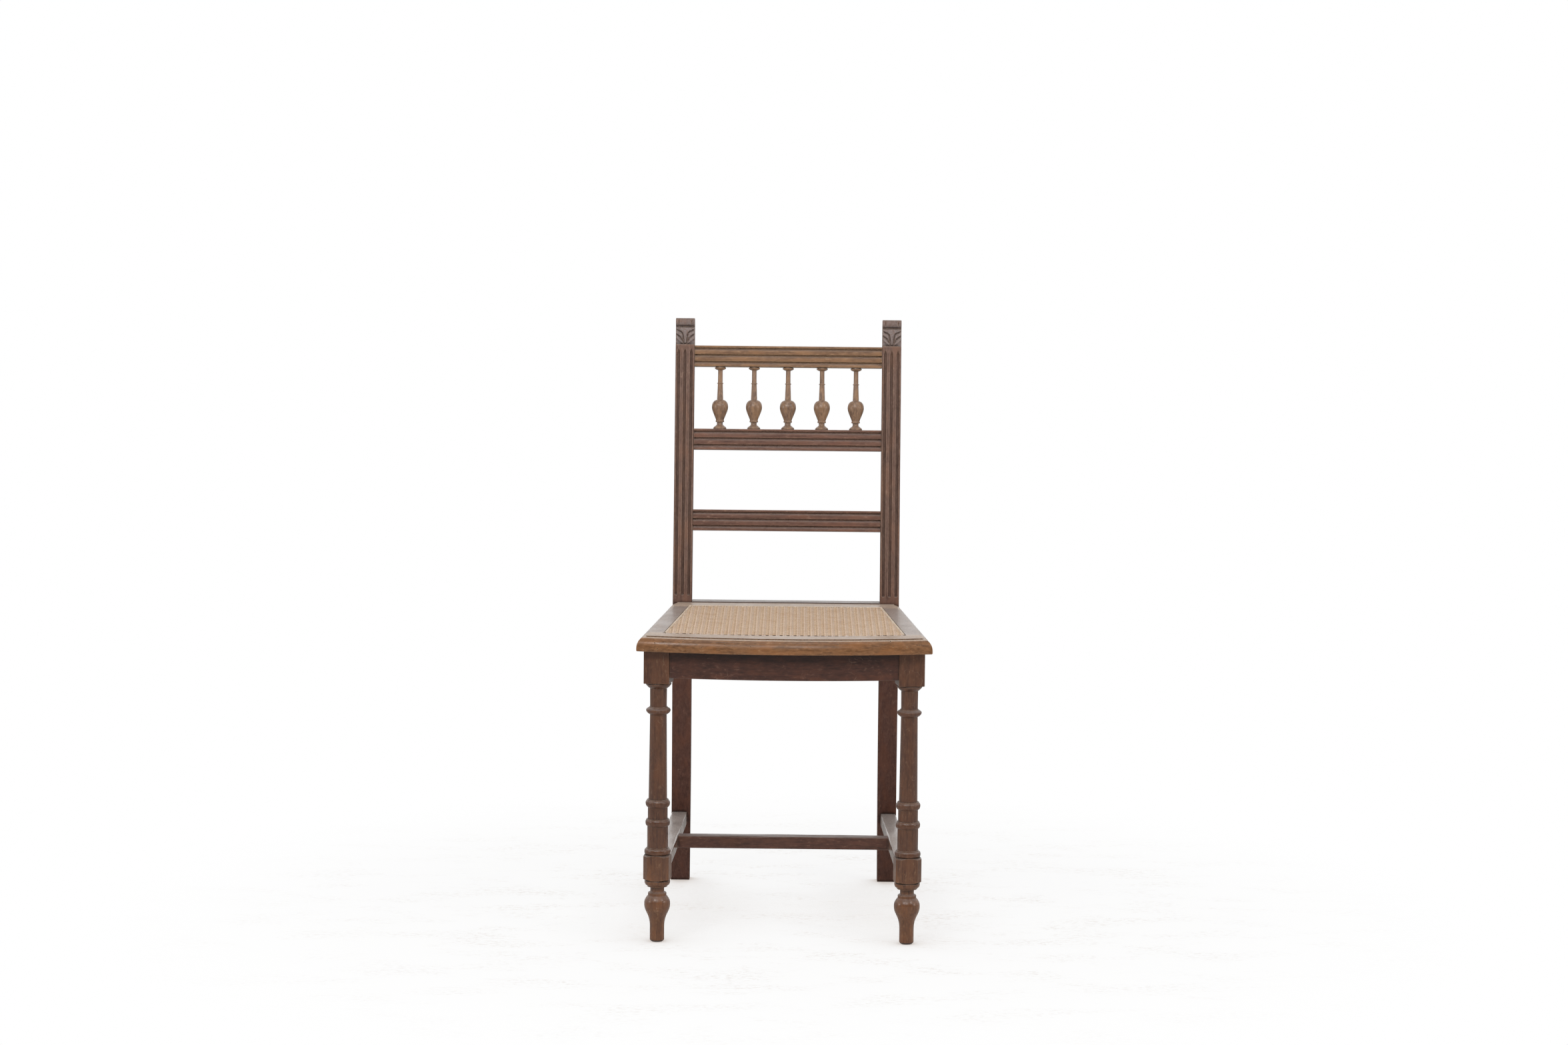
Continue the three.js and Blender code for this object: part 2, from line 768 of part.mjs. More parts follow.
function railTenon(side, place, clearance) {
  const middle = railSetback + railThickness / 2;
  const inner = side * (railHalfLength - joinGap);
  const outer = side * (railHalfLength + railTenonLength + clearance);
  return box(
    [Math.min(inner, outer), Math.max(inner, outer)],
    [middle - railTenonThickness / 2 - clearance, middle + railTenonThickness / 2 + clearance],
    [place + railTenonShoulder - clearance, place + railHeight - railTenonShoulder + clearance],
  );
}

function backRail(place, spindleSockets) {
  const body = acrossX(railSection(), 2 * railHalfLength).translate(0, 0, place);
  const whole = join(body, railTenon(-1, place, 0), railTenon(1, place, 0));
  return spindleSockets.length ? cut(whole, ...spindleSockets) : whole;
}

// Spindles

const spindleBottom = middleRailPlace + railHeight + joinGap;
const spindleTop = topRailPlace - joinGap;
const spindleMiddle = railSetback + railThickness / 2;

function spindlePlaces() {
  const places = [];
  for (let i = 0; i < spindleCount; i += 1) {
    places.push(spindlePitch * (i - (spindleCount - 1) / 2));
  }
  return places;
}

// Heights of the turned parts as shares of the visible length, from the foot
const spindleFootEdgeShare = 0.02;
const spindleFootTopShare = 0.068;
const spindleRingShare = 0.112;
const spindleRingTopShare = 0.138;
const spindleUrnSwellShare = 0.245;
const spindleUrnFullShare = 0.36;
const spindleUrnTopShare = 0.468;
const spindleThreadShare = 0.728;
const spindleThreadTopShare = 0.742;
const spindleCapBottomShare = 0.946;
const spindleCapEdgeShare = 0.978;
const spindleCapTopShare = 0.99;

function spindlePath() {
  const length = spindleTop - spindleBottom;
  const at = (share) => spindleBottom + length * share;
  const path = new THREE.Path();
  path.moveTo(0, spindleBottom - spindleTenonLength);
  path.lineTo(spindleTenonRadius, spindleBottom - spindleTenonLength);
  path.lineTo(spindleTenonRadius, spindleBottom);
  path.lineTo(spindleFootRadius, spindleBottom);
  path.lineTo(spindleFootRadius, at(spindleFootEdgeShare));
  path.lineTo(spindleWaistRadius, at(spindleFootTopShare));
  path.lineTo(spindleWaistRadius, at(spindleRingShare));
  path.lineTo(spindleRingRadius, at(spindleRingShare));
  path.lineTo(spindleRingRadius, at(spindleRingTopShare));
  path.lineTo(spindleUrnFootRadius, at(spindleRingTopShare));
  path.bezierCurveTo(
    spindleRingRadius, at(spindleUrnSwellShare),
    spindleUrnRadius, at(spindleUrnSwellShare),
    spindleUrnRadius, at(spindleUrnFullShare),
  );
  path.quadraticCurveTo(
    spindleUrnRadius, at(spindleUrnTopShare),
    spindleNeckRadius, at(spindleUrnTopShare),
  );
  path.lineTo(spindleThroatRadius, at(spindleThreadShare));
  path.lineTo(spindleThreadRadius, at(spindleThreadShare));
  path.lineTo(spindleThreadRadius, at(spindleThreadTopShare));
  path.lineTo(spindleThroatRadius, at(spindleThreadTopShare));
  path.lineTo(spindleThroatRadius, at(spindleCapBottomShare));
  path.quadraticCurveTo(
    spindleCapRadius, at(spindleCapBottomShare),
    spindleCapRadius, at(spindleCapEdgeShare),
  );
  path.lineTo(spindleCapRadius, at(spindleCapTopShare));
  path.lineTo(spindleRecessRadius, at(spindleCapTopShare));
  path.lineTo(spindleRecessRadius, spindleTop);
  path.lineTo(spindleTenonRadius, spindleTop);
  path.lineTo(spindleTenonRadius, spindleTop + spindleTenonLength);
  path.lineTo(0, spindleTop + spindleTenonLength);
  return path;
}

function spindle(x) {
  return turned(spindlePath(), spindleSides).translate(x, spindleMiddle, 0);
}

function spindleSocket(x, end) {
  return rod(
    spindleTenonRadius + joinGap,
    end - spindleTenonLength - 2 * joinGap,
    end + spindleTenonLength + 2 * joinGap,
    spindleSides,
  ).translate(x, spindleMiddle, 0);
}

// Aprons

const frontApronHalf = legX - legBlockWidth / 2;

// Plan of the front apron, sawn to the same bow as the seat edge
const apronFaceRadius = bowRadius - frontCornerForward;
const apronFaceCentre = Math.sqrt(apronFaceRadius ** 2 - frontApronHalf ** 2) - frontApronBack
  + legBlockWidth / 2 * Math.sin(legBlockTurn);

function frontApronPlan(clearance) {
  const outer = apronFaceRadius + clearance;
  const inner = apronFaceRadius - apronThickness - clearance;
  const halfAngle = Math.asin(legX / apronFaceRadius);
  const from = -Math.PI / 2 - halfAngle;
  const to = -Math.PI / 2 + halfAngle;
  const shape = new THREE.Shape();
  shape.absarc(0, apronFaceCentre, outer, from, to, false);
  shape.absarc(0, apronFaceCentre, inner, to, from, true);
  return shape;
}

function frontApron() {
  const body = cut(
    raised(frontApronPlan(0), apronBottom, apronTop),
    placedLegBlock(-1, joinGap),
    placedLegBlock(1, joinGap),
  );
  return join(body, frontApronTenon(-1, 0), frontApronTenon(1, 0));
}

function frontApronTenon(side, clearance) {
  const inner = side * (frontApronHalf - apronTenonLength / 2);
  const outer = side * (frontApronHalf + apronTenonLength + clearance);
  const middle = apronThickness / 2 - frontApronBack;
  return box(
    [Math.min(inner, outer), Math.max(inner, outer)],
    [middle - apronTenonThickness / 2 - clearance, middle + apronTenonThickness / 2 + clearance],
    [apronBottom + apronTenonShoulder - clearance, apronTop - apronTenonShoulder + clearance],
  );
}

// Side pieces run from the front leg's block to the post. Drawn along Y, then splayed.
const sideRun = new THREE.Vector2(legX - postX, postSetback + postDepth / 2);
const sideSlant = Math.atan2(sideRun.x, sideRun.y);

function splayed(geometry, side, frontX, slant) {
  return geometry.rotateZ(side * slant).translate(side * frontX, 0, 0);
}

function sideApron(side) {
  const half = apronThickness / 2;
  const blank = box([-half, half], [0, postSetback + postDepth / 2], [apronBottom, apronTop]);
  const body = keepInside(
    cut(splayed(blank, side, legX, sideSlant), placedLegBlock(side, joinGap)),
    box([-farSide, farSide], [0, postSetback - joinGap], [0, seatHeight]),
  );
  return join(body, sideApronTenon(side, -1, 0), sideApronTenon(side, 1, 0));
}

function sideApronTenon(side, end, clearance) {
  const half = apronTenonThickness / 2 + clearance;
  const face = end > 0 ? postSetback : legBlockWidth / 2;
  const inner = face - end * apronTenonLength / 2;
  const outer = face + end * (apronTenonLength + clearance);
  const tenon = box(
    [-half, half],
    [Math.min(inner, outer), Math.max(inner, outer)],
    [apronBottom + apronTenonShoulder - clearance, apronTop - apronTenonShoulder + clearance],
  );
  return splayed(tenon, side, legX, sideSlant);
}

const backApronTop = seatHeight + backApronRise;

function backApron() {
  const half = postX - postWidth / 2 - joinGap;
  const body = box(
    [-half, half],
    [postSetback, postSetback + backApronThickness],
    [apronBottom, backApronTop],
  );
  return join(body, backApronTenon(-1, 0), backApronTenon(1, 0));
}

function backApronTenon(side, clearance) {
  const face = postX - postWidth / 2;
  const inner = side * (face - apronTenonLength / 2);
  const outer = side * (face + backApronTenonLength + clearance);
  const middle = postSetback + backApronThickness / 2;
  return box(
    [Math.min(inner, outer), Math.max(inner, outer)],
    [middle - apronTenonThickness / 2 - clearance, middle + apronTenonThickness / 2 + clearance],
    [apronBottom + apronTenonShoulder - clearance, apronTop - apronTenonShoulder + clearance],
  );
}

// Stretchers

const stretcherFrontX = legX - stretcherFrontInset;
const stretcherRearX = postX + (postWidth - stretcherWidth) / 2 - stretcherRearInset;
const stretcherBottom = stretcherTop - stretcherHeight;
const stretcherSlant = Math.atan2(stretcherFrontX - stretcherRearX, postSetback + rearFootKick);

// Depth of the front face of the back leg at one height
function legFaceAt(height) {
  const rise = apronBottom - 2 * rearLegCurveHeight;
  const root = Math.sqrt(rearLegCurveHeight ** 2 + rise * height);
  const share = height / (rearLegCurveHeight + root);
  return postSetback + rearFootKick * (1 - share) ** 2;
}

function sideStretcher(side) {
  const half = stretcherWidth / 2;
  const reach = postSetback + rearFootKick;
  const blank = splayed(
    box([-half, half], [0, reach], [stretcherBottom, stretcherTop]),
    side,
    stretcherFrontX,
    stretcherSlant,
  );
  const low = raised(
    chamferedSquare(legBlockWidth + 2 * joinGap, lowBlockChamfer),
    lowBlockBottom - cutOverrun,
    lowBlockTop + cutOverrun,
  ).rotateZ(side * legBlockTurn).translate(side * legX, 0, 0);
  const grownPost = acrossX(postOutline(), 2 * postWidth)
    .translate(side * postX, -joinGap, 0);
  const body = keepInside(
    cut(blank, low, grownPost),
    box([-farSide, farSide], [legBlockWidth / 2 - lowBlockChamfer, legFaceAt(stretcherBottom)],
      [0, seatHeight]),
  );
  const whole = join(body, sideStretcherTenon(side, -1, 0), sideStretcherTenon(side, 1, 0));
  return cut(whole, crossStretcherTenon(side, joinGap));
}

function sideStretcherTenon(side, end, clearance) {
  const half = stretcherTenonThickness / 2 + clearance;
  const face = end > 0 ? legFaceAt(stretcherTop) : legBlockWidth / 2;
  const inner = face - end * stretcherTenonLength;
  const outer = face + end * (stretcherTenonLength + clearance);
  const middle = (stretcherTop + stretcherBottom) / 2;
  const tenon = box(
    [-half, half],
    [Math.min(inner, outer), Math.max(inner, outer)],
    [middle - stretcherTenonHeight / 2 - clearance, middle + stretcherTenonHeight / 2 + clearance],
  );
  return splayed(tenon, side, stretcherFrontX, stretcherSlant);
}

// Inner face of a side stretcher at one depth
function stretcherInnerX(depth) {
  const centre = stretcherFrontX - depth * Math.tan(stretcherSlant);
  return centre - stretcherWidth / 2 / Math.cos(stretcherSlant);
}

function crossStretcher() {
  const front = crossStretcherSetback - crossStretcherDepth / 2;
  const back = crossStretcherSetback + crossStretcherDepth / 2;
  const corners = [
    [-stretcherInnerX(front) + joinGap, front],
    [stretcherInnerX(front) - joinGap, front],
    [stretcherInnerX(back) - joinGap, back],
    [-stretcherInnerX(back) + joinGap, back],
  ];
  const shape = new THREE.Shape(corners.map(([x, y]) => new THREE.Vector2(x, y)));
  return join(
    raised(shape, stretcherBottom, stretcherTop),
    crossStretcherTenon(-1, 0),
    crossStretcherTenon(1, 0),
  );
}

function crossStretcherTenon(side, clearance) {
  const face = stretcherInnerX(crossStretcherSetback);
  const inner = side * (face - stretcherTenonLength);
  const outer = side * (face + stretcherTenonLength + clearance);
  const half = stretcherTenonThickness / 2 + clearance;
  const middle = (stretcherTop + stretcherBottom) / 2;
  return box(
    [Math.min(inner, outer), Math.max(inner, outer)],
    [crossStretcherSetback - half, crossStretcherSetback + half],
    [middle - stretcherTenonHeight / 2 - clearance, middle + stretcherTenonHeight / 2 + clearance],
  );
}

// Glue blocks under the seat frame, and the screws that go up through them

const glueBlockBottom = apronTop - glueBlockHeight;

// Place of the back of the front apron, a screw's distance inside the leg block
const frontScrewX = frontApronHalf - frontGlueBlockWidth / 2;
const frontApronBackY = apronFaceCentre
  - Math.sqrt((apronFaceRadius - apronThickness) ** 2 - frontScrewX ** 2);

// A short batten against the front apron and the leg block
function frontGlueBlock(side) {
  const inner = side * (frontApronHalf - frontGlueBlockWidth);
  const outer = side * legX;
  const blank = box(
    [Math.min(inner, outer), Math.max(inner, outer)],
    [frontApronBackY - apronThickness / 2, frontApronBackY + frontGlueBlockDepth],
    [glueBlockBottom, apronTop],
  );
  const insideLeg = box(
    [-legX, legX],
    [-farSide, frontApronBackY + frontGlueBlockDepth],
    [0, seatHeight],
  );
  return cut(
    keepInside(blank, insideLeg),
    raised(frontApronPlan(joinGap), apronBottom - cutOverrun, apronTop + cutOverrun),
    placedLegBlock(side, joinGap),
    seatScrew(side, -1, joinGap),
  );
}

// Plan place of the corner between the side apron and the back apron
function rearCorner(side) {
  const half = apronThickness / 2 / Math.cos(sideSlant) + joinGap;
  const y = postSetback - joinGap;
  return new THREE.Vector2(side * (legX - y * Math.tan(sideSlant) - half), y);
}

// A three-cornered block in the rear corner
function rearGlueBlock(side) {
  const corner = rearCorner(side);
  const slantShift = glueBlockLeg * Math.tan(sideSlant);
  const points = [
    [corner.x, corner.y],
    [corner.x - side * glueBlockLeg, corner.y],
    [corner.x + side * slantShift, corner.y - glueBlockLeg],
  ];
  const shape = new THREE.Shape(points.map(([x, y]) => new THREE.Vector2(x, y)));
  return cut(raised(shape, glueBlockBottom, apronTop), seatScrew(side, 1, joinGap));
}

function screwPlace(side, end) {
  if (end < 0) return new THREE.Vector2(side * frontScrewX, frontApronBackY + screwInset);
  const inset = glueBlockLeg / Math.PI;
  const corner = rearCorner(side);
  return new THREE.Vector2(corner.x - side * inset, corner.y - inset);
}

// A countersunk wood screw, head down. With a clearance it is the hole for the screw.
function seatScrew(side, end, clearance) {
  const radius = screwShankDiameter / 2 + clearance;
  const headRadius = screwHeadDiameter / 2 + clearance;
  const headBottom = glueBlockBottom + joinGap;
  const top = seatUnderside + screwBite + clearance;
  const path = new THREE.Path();
  path.moveTo(0, clearance > 0 ? glueBlockBottom - cutOverrun : headBottom);
  path.lineTo(headRadius, path.currentPoint.y);
  if (clearance > 0) path.lineTo(headRadius, headBottom);
  path.lineTo(radius, headBottom + screwHeadHeight);
  path.lineTo(radius, top - screwPointLength);
  path.lineTo(0, top);
  const place = screwPlace(side, end);
  return turned(path, spindleSides).translate(place.x, place.y, 0);
}

function slottedScrew(side, end) {
  const place = screwPlace(side, end);
  const slot = box(
    [-screwHeadDiameter, screwHeadDiameter],
    [-screwSlotWidth / 2, screwSlotWidth / 2],
    [glueBlockBottom - cutOverrun, glueBlockBottom + joinGap + screwSlotDepth],
  ).translate(place.x, place.y, 0);
  return cut(seatScrew(side, end, 0), slot);
}

// Finishes

function wood(colour) {
  return new THREE.MeshStandardMaterial({ color: colour, roughness: 0.5, metalness: 0 });
}

function cane() {
  return new THREE.MeshStandardMaterial({ color: caneTan, roughness: 0.65, metalness: 0 });
}

function steel() {
  return new THREE.MeshStandardMaterial({ color: steelGrey, roughness: 0.5, metalness: 0.9 });
}

const chair = new THREE.Group();

function add(name, geometry, material) {
  const mesh = new THREE.Mesh(geometry, material);
  mesh.name = name;
  chair.add(mesh);
}

const sides = [['left', -1], ['right', 1]];

for (const [name, side] of sides) {
  add(`${name}_back_post`, backPost(side), wood(darkWalnut));
  add(`${name}_front_leg`, frontLeg(side), wood(walnutBrown));
  add(`${name}_side_apron`, sideApron(side), wood(darkWalnut));
  add(`${name}_side_stretcher`, sideStretcher(side), wood(walnutBrown));
  add(`front_${name}_glue_block`, frontGlueBlock(side), wood(darkWalnut));
  add(`rear_${name}_glue_block`, rearGlueBlock(side), wood(darkWalnut));
  add(`front_${name}_seat_screw`, slottedScrew(side, -1), steel());
  add(`rear_${name}_seat_screw`, slottedScrew(side, 1), steel());
}

const topSockets = spindlePlaces().map((x) => spindleSocket(x, topRailPlace));
const middleSockets = spindlePlaces().map((x) => spindleSocket(x, middleRailPlace + railHeight));
add('top_rail', leaning(backRail(topRailPlace, topSockets)), wood(goldenWalnut));
add('middle_rail', leaning(backRail(middleRailPlace, middleSockets)), wood(walnutBrown));
add('lower_rail', leaning(backRail(lowerRailPlace, [])), wood(walnutBrown));
spindlePlaces().forEach((x, i) => {
  add(`spindle_${i + 1}`, leaning(spindle(x)), wood(walnutBrown));
});

add('front_apron', frontApron(), wood(darkWalnut));
add('back_apron', backApron(), wood(darkWalnut));
add('cross_stretcher', crossStretcher(), wood(walnutBrown));

const seatBlank = seatFrameBlank();
add('seat_front_rail', seatFrontRail(seatBlank), wood(walnutBrown));
add('seat_back_rail', seatBackRail(seatBlank), wood(walnutBrown));
for (const [name, side] of sides) {
  add(`seat_${name}_rail`, seatSideRail(seatBlank, side), wood(walnutBrown));
}
add('cane_panel', canePanel(), cane());

// The origin is on the floor under the middle of the whole chair
const bounds = new THREE.Box3().setFromObject(chair);
const middleOfChair = bounds.getCenter(new THREE.Vector3());
chair.position.set(-middleOfChair.x, -middleOfChair.y, -bounds.min.z);
chair.updateMatrixWorld(true);

export default chair;
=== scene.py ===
# Looks of a caned side chair: turned front legs, fluted and carved back posts, moulded
# rails, a row of turned spindles and a hand-woven cane seat.
#
# Sizes are in millimetres in the chair's own frame: X to the right as seen from the front,
# Y back from the axes of the front legs, Z up from the floor. add_piece() moves each
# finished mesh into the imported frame, in metres.

import math
import random

import bmesh
import bpy
import numpy as np
from mathutils import Matrix, Vector


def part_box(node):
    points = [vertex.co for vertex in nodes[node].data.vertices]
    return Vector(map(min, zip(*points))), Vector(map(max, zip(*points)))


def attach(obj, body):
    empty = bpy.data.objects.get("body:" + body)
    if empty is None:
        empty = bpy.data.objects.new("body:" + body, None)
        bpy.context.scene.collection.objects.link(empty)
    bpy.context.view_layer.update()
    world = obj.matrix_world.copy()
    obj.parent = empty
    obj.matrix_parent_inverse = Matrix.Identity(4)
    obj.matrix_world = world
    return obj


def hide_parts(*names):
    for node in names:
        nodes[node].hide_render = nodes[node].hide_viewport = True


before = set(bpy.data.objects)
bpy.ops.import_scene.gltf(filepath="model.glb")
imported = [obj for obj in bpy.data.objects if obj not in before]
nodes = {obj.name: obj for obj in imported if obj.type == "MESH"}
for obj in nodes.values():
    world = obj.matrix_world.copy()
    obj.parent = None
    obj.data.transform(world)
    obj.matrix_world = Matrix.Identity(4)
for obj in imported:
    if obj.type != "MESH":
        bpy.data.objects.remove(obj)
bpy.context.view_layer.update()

METRES = 0.001
leg_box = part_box("left_front_leg")
DEPTH_SHIFT = (leg_box[0].y + leg_box[1].y) / 2
PLACE = Matrix.Translation((0, DEPTH_SHIFT, 0)) @ Matrix.Scale(METRES, 4)
SIDES = {"left": -1, "right": 1}

# Overall sizes
SEAT_HEIGHT = 455
SEAT_THICKNESS = 22
SEAT_UNDERSIDE = SEAT_HEIGHT - SEAT_THICKNESS
JOIN_GAP = 0.3
POST_SETBACK = 356
BACK_LEAN = math.radians(8.4)
LEG_X = 183
POST_X = 160

# Softened corners
TURNED_ROUND = 0.45
ARRIS_ROUND = 1
NODE_ARRIS = 0.8
SHARP_ANGLE = math.radians(38)

# Seat frame, measured at its top arris
SEAT_FRONT_WIDTH = 402.6
SEAT_REAR_WIDTH = 334
CORNER_FORWARD = 20
FRONT_BOW = 23
FRONT_MARGIN = 34
SIDE_MARGIN = 21.5
REAR_MARGIN = 40
LEDGE = 9
LEDGE_DROP = 1.5
EDGE_OVERHANG = 12.5
EDGE_QUIRK = 1.6
QUIRK_UNDERCUT = 0.9
EDGE_FILLET = 1.2
EDGE_FLAT = 3.6
EDGE_CHAMFER = 1
EDGE_SOFTENING = 0.3
SEAT_REAR = POST_SETBACK - JOIN_GAP
ARC_STEPS = 96
SIDE_STEPS = 24
REAR_STEPS = 12
OVOLO_STEPS = 14

# Worm holes in the moulded front edge, by place across and height
WORM_DIAMETER = 1.5
WORM_DEPTH = 3
WORM_FACETS = 10
WORM_HOLES = (
    (-202.5, 435.2), (-188.1, 446.2), (-183.8, 438), (-152.4, 447.4), (-146.7, 449.2),
    (-120.4, 441.9), (-86.2, 447.3), (-49.1, 444.8), (77.3, 449), (153.1, 452),
    (156.9, 445.2), (177.2, 444), (195.6, 447),
)

# Caning
HOLE_PITCH = 10.1
HOLE_INSET = 2.8
HOLE_DIAMETER = 3.2
HOLE_FACETS = 12
DRILL_OVERRUN = 5
STRAND_WIDTH = 2.15
STRAND_SPACING = 2.35
STRAND_THICKNESS = 0.55
WEAVE_LIFT = 0.5
DIAGONAL_WIDTH = 1.9
DIAGONAL_LIFT = 1.1 * WEAVE_LIFT
DIAGONAL_STEPS = 8
DIAGONAL_REACH = 80
DIAGONAL_LEAST = 6
FIRST_ROW_SHARE = 0.6
LAST_ROW_SHARE = 0.4
CANE_PLANE = 454.6
STRAND_DIP = 3
STATION_MARGIN = 0.4
BINDING_WIDTH = 3.4
BINDING_RISE = 0.7
BINDING_CROWN = 0.7
LOOP_WIDTH = 2.2
LOOP_DIP = 1.5
LOOP_SHARES = (-1, -0.8, -0.4, 0, 0.4, 0.8, 1)
LOOP_LEAN = 0.6
LOOP_OVERHANG = (0.2, 0.7)
LOOP_RISE = (0.3, 0.7)
FRONT_CLEARANCE = 0.3

# Aprons
APRON_TOP = SEAT_UNDERSIDE - JOIN_GAP
APRON_HEIGHT = 40
APRON_BOTTOM = APRON_TOP - APRON_HEIGHT
APRON_THICKNESS = 18
APRON_BACK = 22.5

# Front legs. The turning is given from the floor up, as points of radius and height.
BLOCK_WIDTH = 38
BLOCK_TURN = math.radians(8)
BLOCK_BOTTOM = 383.5
BLOCK_OVERLAP = 0.8
BLOCK_ARRIS = 0.9
LOW_BLOCK_BOTTOM = 92
LOW_BLOCK_TOP = 129.4
LOW_BLOCK_CHAMFER = 7
LOW_BLOCK_SHOULDER = 4.4
LOW_BLOCK_ENDS = (18.8, 19)
LOW_BLOCK_ARRIS = 0.5
RING_RADIUS = 17.95
RING_EDGE = 0.3
RING_SWELL = 2.5
RING_FILLET = 1.3
LEG_SIDES = 64
FOOT = ((8.2, 0), (10.6, 2.4), (10.6, 22))
VASE = ((10.6, 22), (10.6, 41), (18.6, 43), (19, 55))
VASE_STEPS = 18
VASE_SHOULDER = ((19, 57), (19, 62.8), (13.6, 68.6))
NECK = ((13.6, 72.4), (10.2, 74.7), (10.2, 81.7), (14.8, 81.7), (14.8, 83.7))
BASE_STEP = ((14.8, 83.7), (18.8, 83.7), (18.8, 90.4))
LOW_BLOCK_CORE = ((17.2, 92), (15.2, 94.2), (15.2, 127.2), (16.3, LOW_BLOCK_TOP))
COLLAR_INNER = 16.3
COLLAR_OUTER = 19.2
COLLAR_TOP = 138.2
COLLAR_FILLET_TOP = 139.6
# Each length of the shaft ends in a ring: radii at its ends, and heights of its ring
SHAFTS = ((15.2, 15.2, 171.8, 182.1), (14.5, 14.5, 199.6, 211.2), (13.5, 12.2, 336.9, 348.1))
SHAFT_HEAD = ((12.2, 348.1), (12.4, 375.3))
CAPITAL = ((12.4, 375.3), (15.2, 376.4), (18.7, 381.3))
CAPITAL_TOP = ((18.9, 382), (18.6, 382.7), (15, 382.9), (15, BLOCK_BOTTOM + BLOCK_OVERLAP))
BEAD_STEPS = 8
RING_STEPS = 10
SMALL_STEPS = 6

# Back posts
POST_WIDTH = 29.5
POST_DEPTH = 28
POST_TOP_DEPTH = 21
FOOT_DEPTH = 24
FOOT_KICK = 94
FOOT_SPLAY = 3
LEG_CURVE_HEIGHT = 300
FACE_LENGTH = 399.2
PANEL_LENGTH = 29.2
PANEL_TOP = FACE_LENGTH + PANEL_LENGTH
PANEL_RECESS = 2
PANEL_STEP = 0.05
SCROLL_RADIUS = 5.94
SCROLL_FORWARD = 1.6
SCROLL_START = math.radians(252)
SCROLL_END = math.radians(45)
SCROLL_UNDERCUT = 3.2
UNDERCUT_LENGTH = 3.4
FLUTE_WIDTH = 4.4
FLUTE_DEPTH = 2.3
FLUTE_BOTTOM = 10.6
FLUTE_TOP_MARGIN = 3.4
FLUTE_TOP = FACE_LENGTH - FLUTE_TOP_MARGIN
FLUTE_START = FLUTE_WIDTH / 1.5
FLUTE_POINT = 9
FLUTE_SHARES = (0.17, 0.5, 0.83)
NICK_WIDTH = 2.3
NICK_DEPTH = 1.4
NICK_INSET = 5
NICK_STEP = 11
NICK_STEPS = 8
POST_COLUMN = 0.36
RIM_SHARES = (0, 0.08, 0.3, 0.62)
# Rows of points up a post: below the apron, behind it, on the panel and round the scroll
LEG_ROWS = 34
APRON_ROWS = 8
PANEL_ROWS = 90
SCROLL_ROWS = 30
# Runs of rows on the fluted face, each from one place to another, close together where the
# flutes begin and run out, and the last single rows
FLUTE_FULL = 14.6
POINT_START = 384
POINT_END = 396.5
FACE_RUNS = ((0, FLUTE_BOTTOM, 4), (FLUTE_BOTTOM, FLUTE_FULL, 9), (FLUTE_FULL, POINT_START, 30),
             (POINT_START, POINT_END, 26))
FACE_LAST_ROWS = (397.6, 398.7, FACE_LENGTH)
WELD_DISTANCE = 0.0001

# Carved leaf. Its cut lines run on one half of the panel, as distance from the middle and
# height over the lower edge: over the upper side lobe, under it, and over the corner.
LEAF_LINES = (
    ((2.4, 0), (2.8, 7), (3.3, 14), (4.4, 17.6), (7, 19.7), (10.5, 21.3), (14.8, 23.4)),
    ((1.5, 0), (2.8, 3.6), (6.3, 9.4), (9.5, 12.8), (12.5, 15), (14.8, 16)),
    ((1.0, 0), (4.5, 0.7), (8.7, 3), (11.5, 5.2), (14.8, 8.4)),
)
LEAF_SINK = 0.9
LEAF_CUT = 1.05
LEAF_CUT_SHARE = 0.72
LEAF_CROWN = 2.6
LEAF_CROWN_SHARE = 0.62
LEAF_END = 3
LEAF_FOOT = 0.8
STEM_HALF = 2.4
FLARE = 2.2
FLARE_START = 12
FLARE_LENGTH = 17
VEIN_DEPTH = 0.34
VEIN_REACH = 5
VEIN_WAVE = 2.1
LOBE_VEIN_DEPTH = 0.22
LOBE_VEIN_WAVE = 1.6
LOBE_VEIN_SLANT = 0.55
NOTCH_DEPTH = 1.5
NOTCH_HALF = 1.1
NOTCH_HEIGHT = 1.8
TOOL_MARKS = 0.12

# Rails of the back
RAIL_HEIGHT = 32.1
RAIL_THICKNESS = 20
RAIL_SETBACK = 2
RAIL_PLACES = {"top_rail": 365.9, "middle_rail": 236.9, "lower_rail": 111.7}
RAIL_GROOVE_DEPTH = 3
RAIL_GROOVE_FLAT = 2.3
RAIL_GROOVE_SHARES = (0.1, 0.42, 0.75)
RAIL_COVE_SHARE = 0.155
RAIL_COVE_PULL = 0.35
RAIL_ROUND = 0.84
RAIL_HALF_LENGTH = POST_X - POST_WIDTH / 2 - JOIN_GAP
BAR_STATIONS = 41

# Spindles. The turning is given as points of radius and share of the length.
SPINDLE_COUNT = 5
SPINDLE_PITCH = 52.6
SPINDLE_SIDES = 48
SPINDLE_BOTTOM = RAIL_PLACES["middle_rail"] + RAIL_HEIGHT + JOIN_GAP
SPINDLE_TOP = RAIL_PLACES["top_rail"] - JOIN_GAP
SPINDLE_FORWARD = RAIL_SETBACK + RAIL_THICKNESS / 2
SPINDLE_FOOT = (
    (10, 0), (10.2, 0.018), (9.2, 0.029), (7.5, 0.044), (4.7, 0.067), (4.5, 0.09),
    (4.7, 0.112), (6.6, 0.112), (6.6, 0.136), (5.9, 0.14),
)
URN = ((5.9, 0.14), (7.5, 0.2), (12.6, 0.29), (12.6, 0.355))
URN_STEPS = 14
URN_SHOULDER = ((12.6, 0.355), (12.6, 0.42), (9.5, 0.46), (5.2, 0.468))
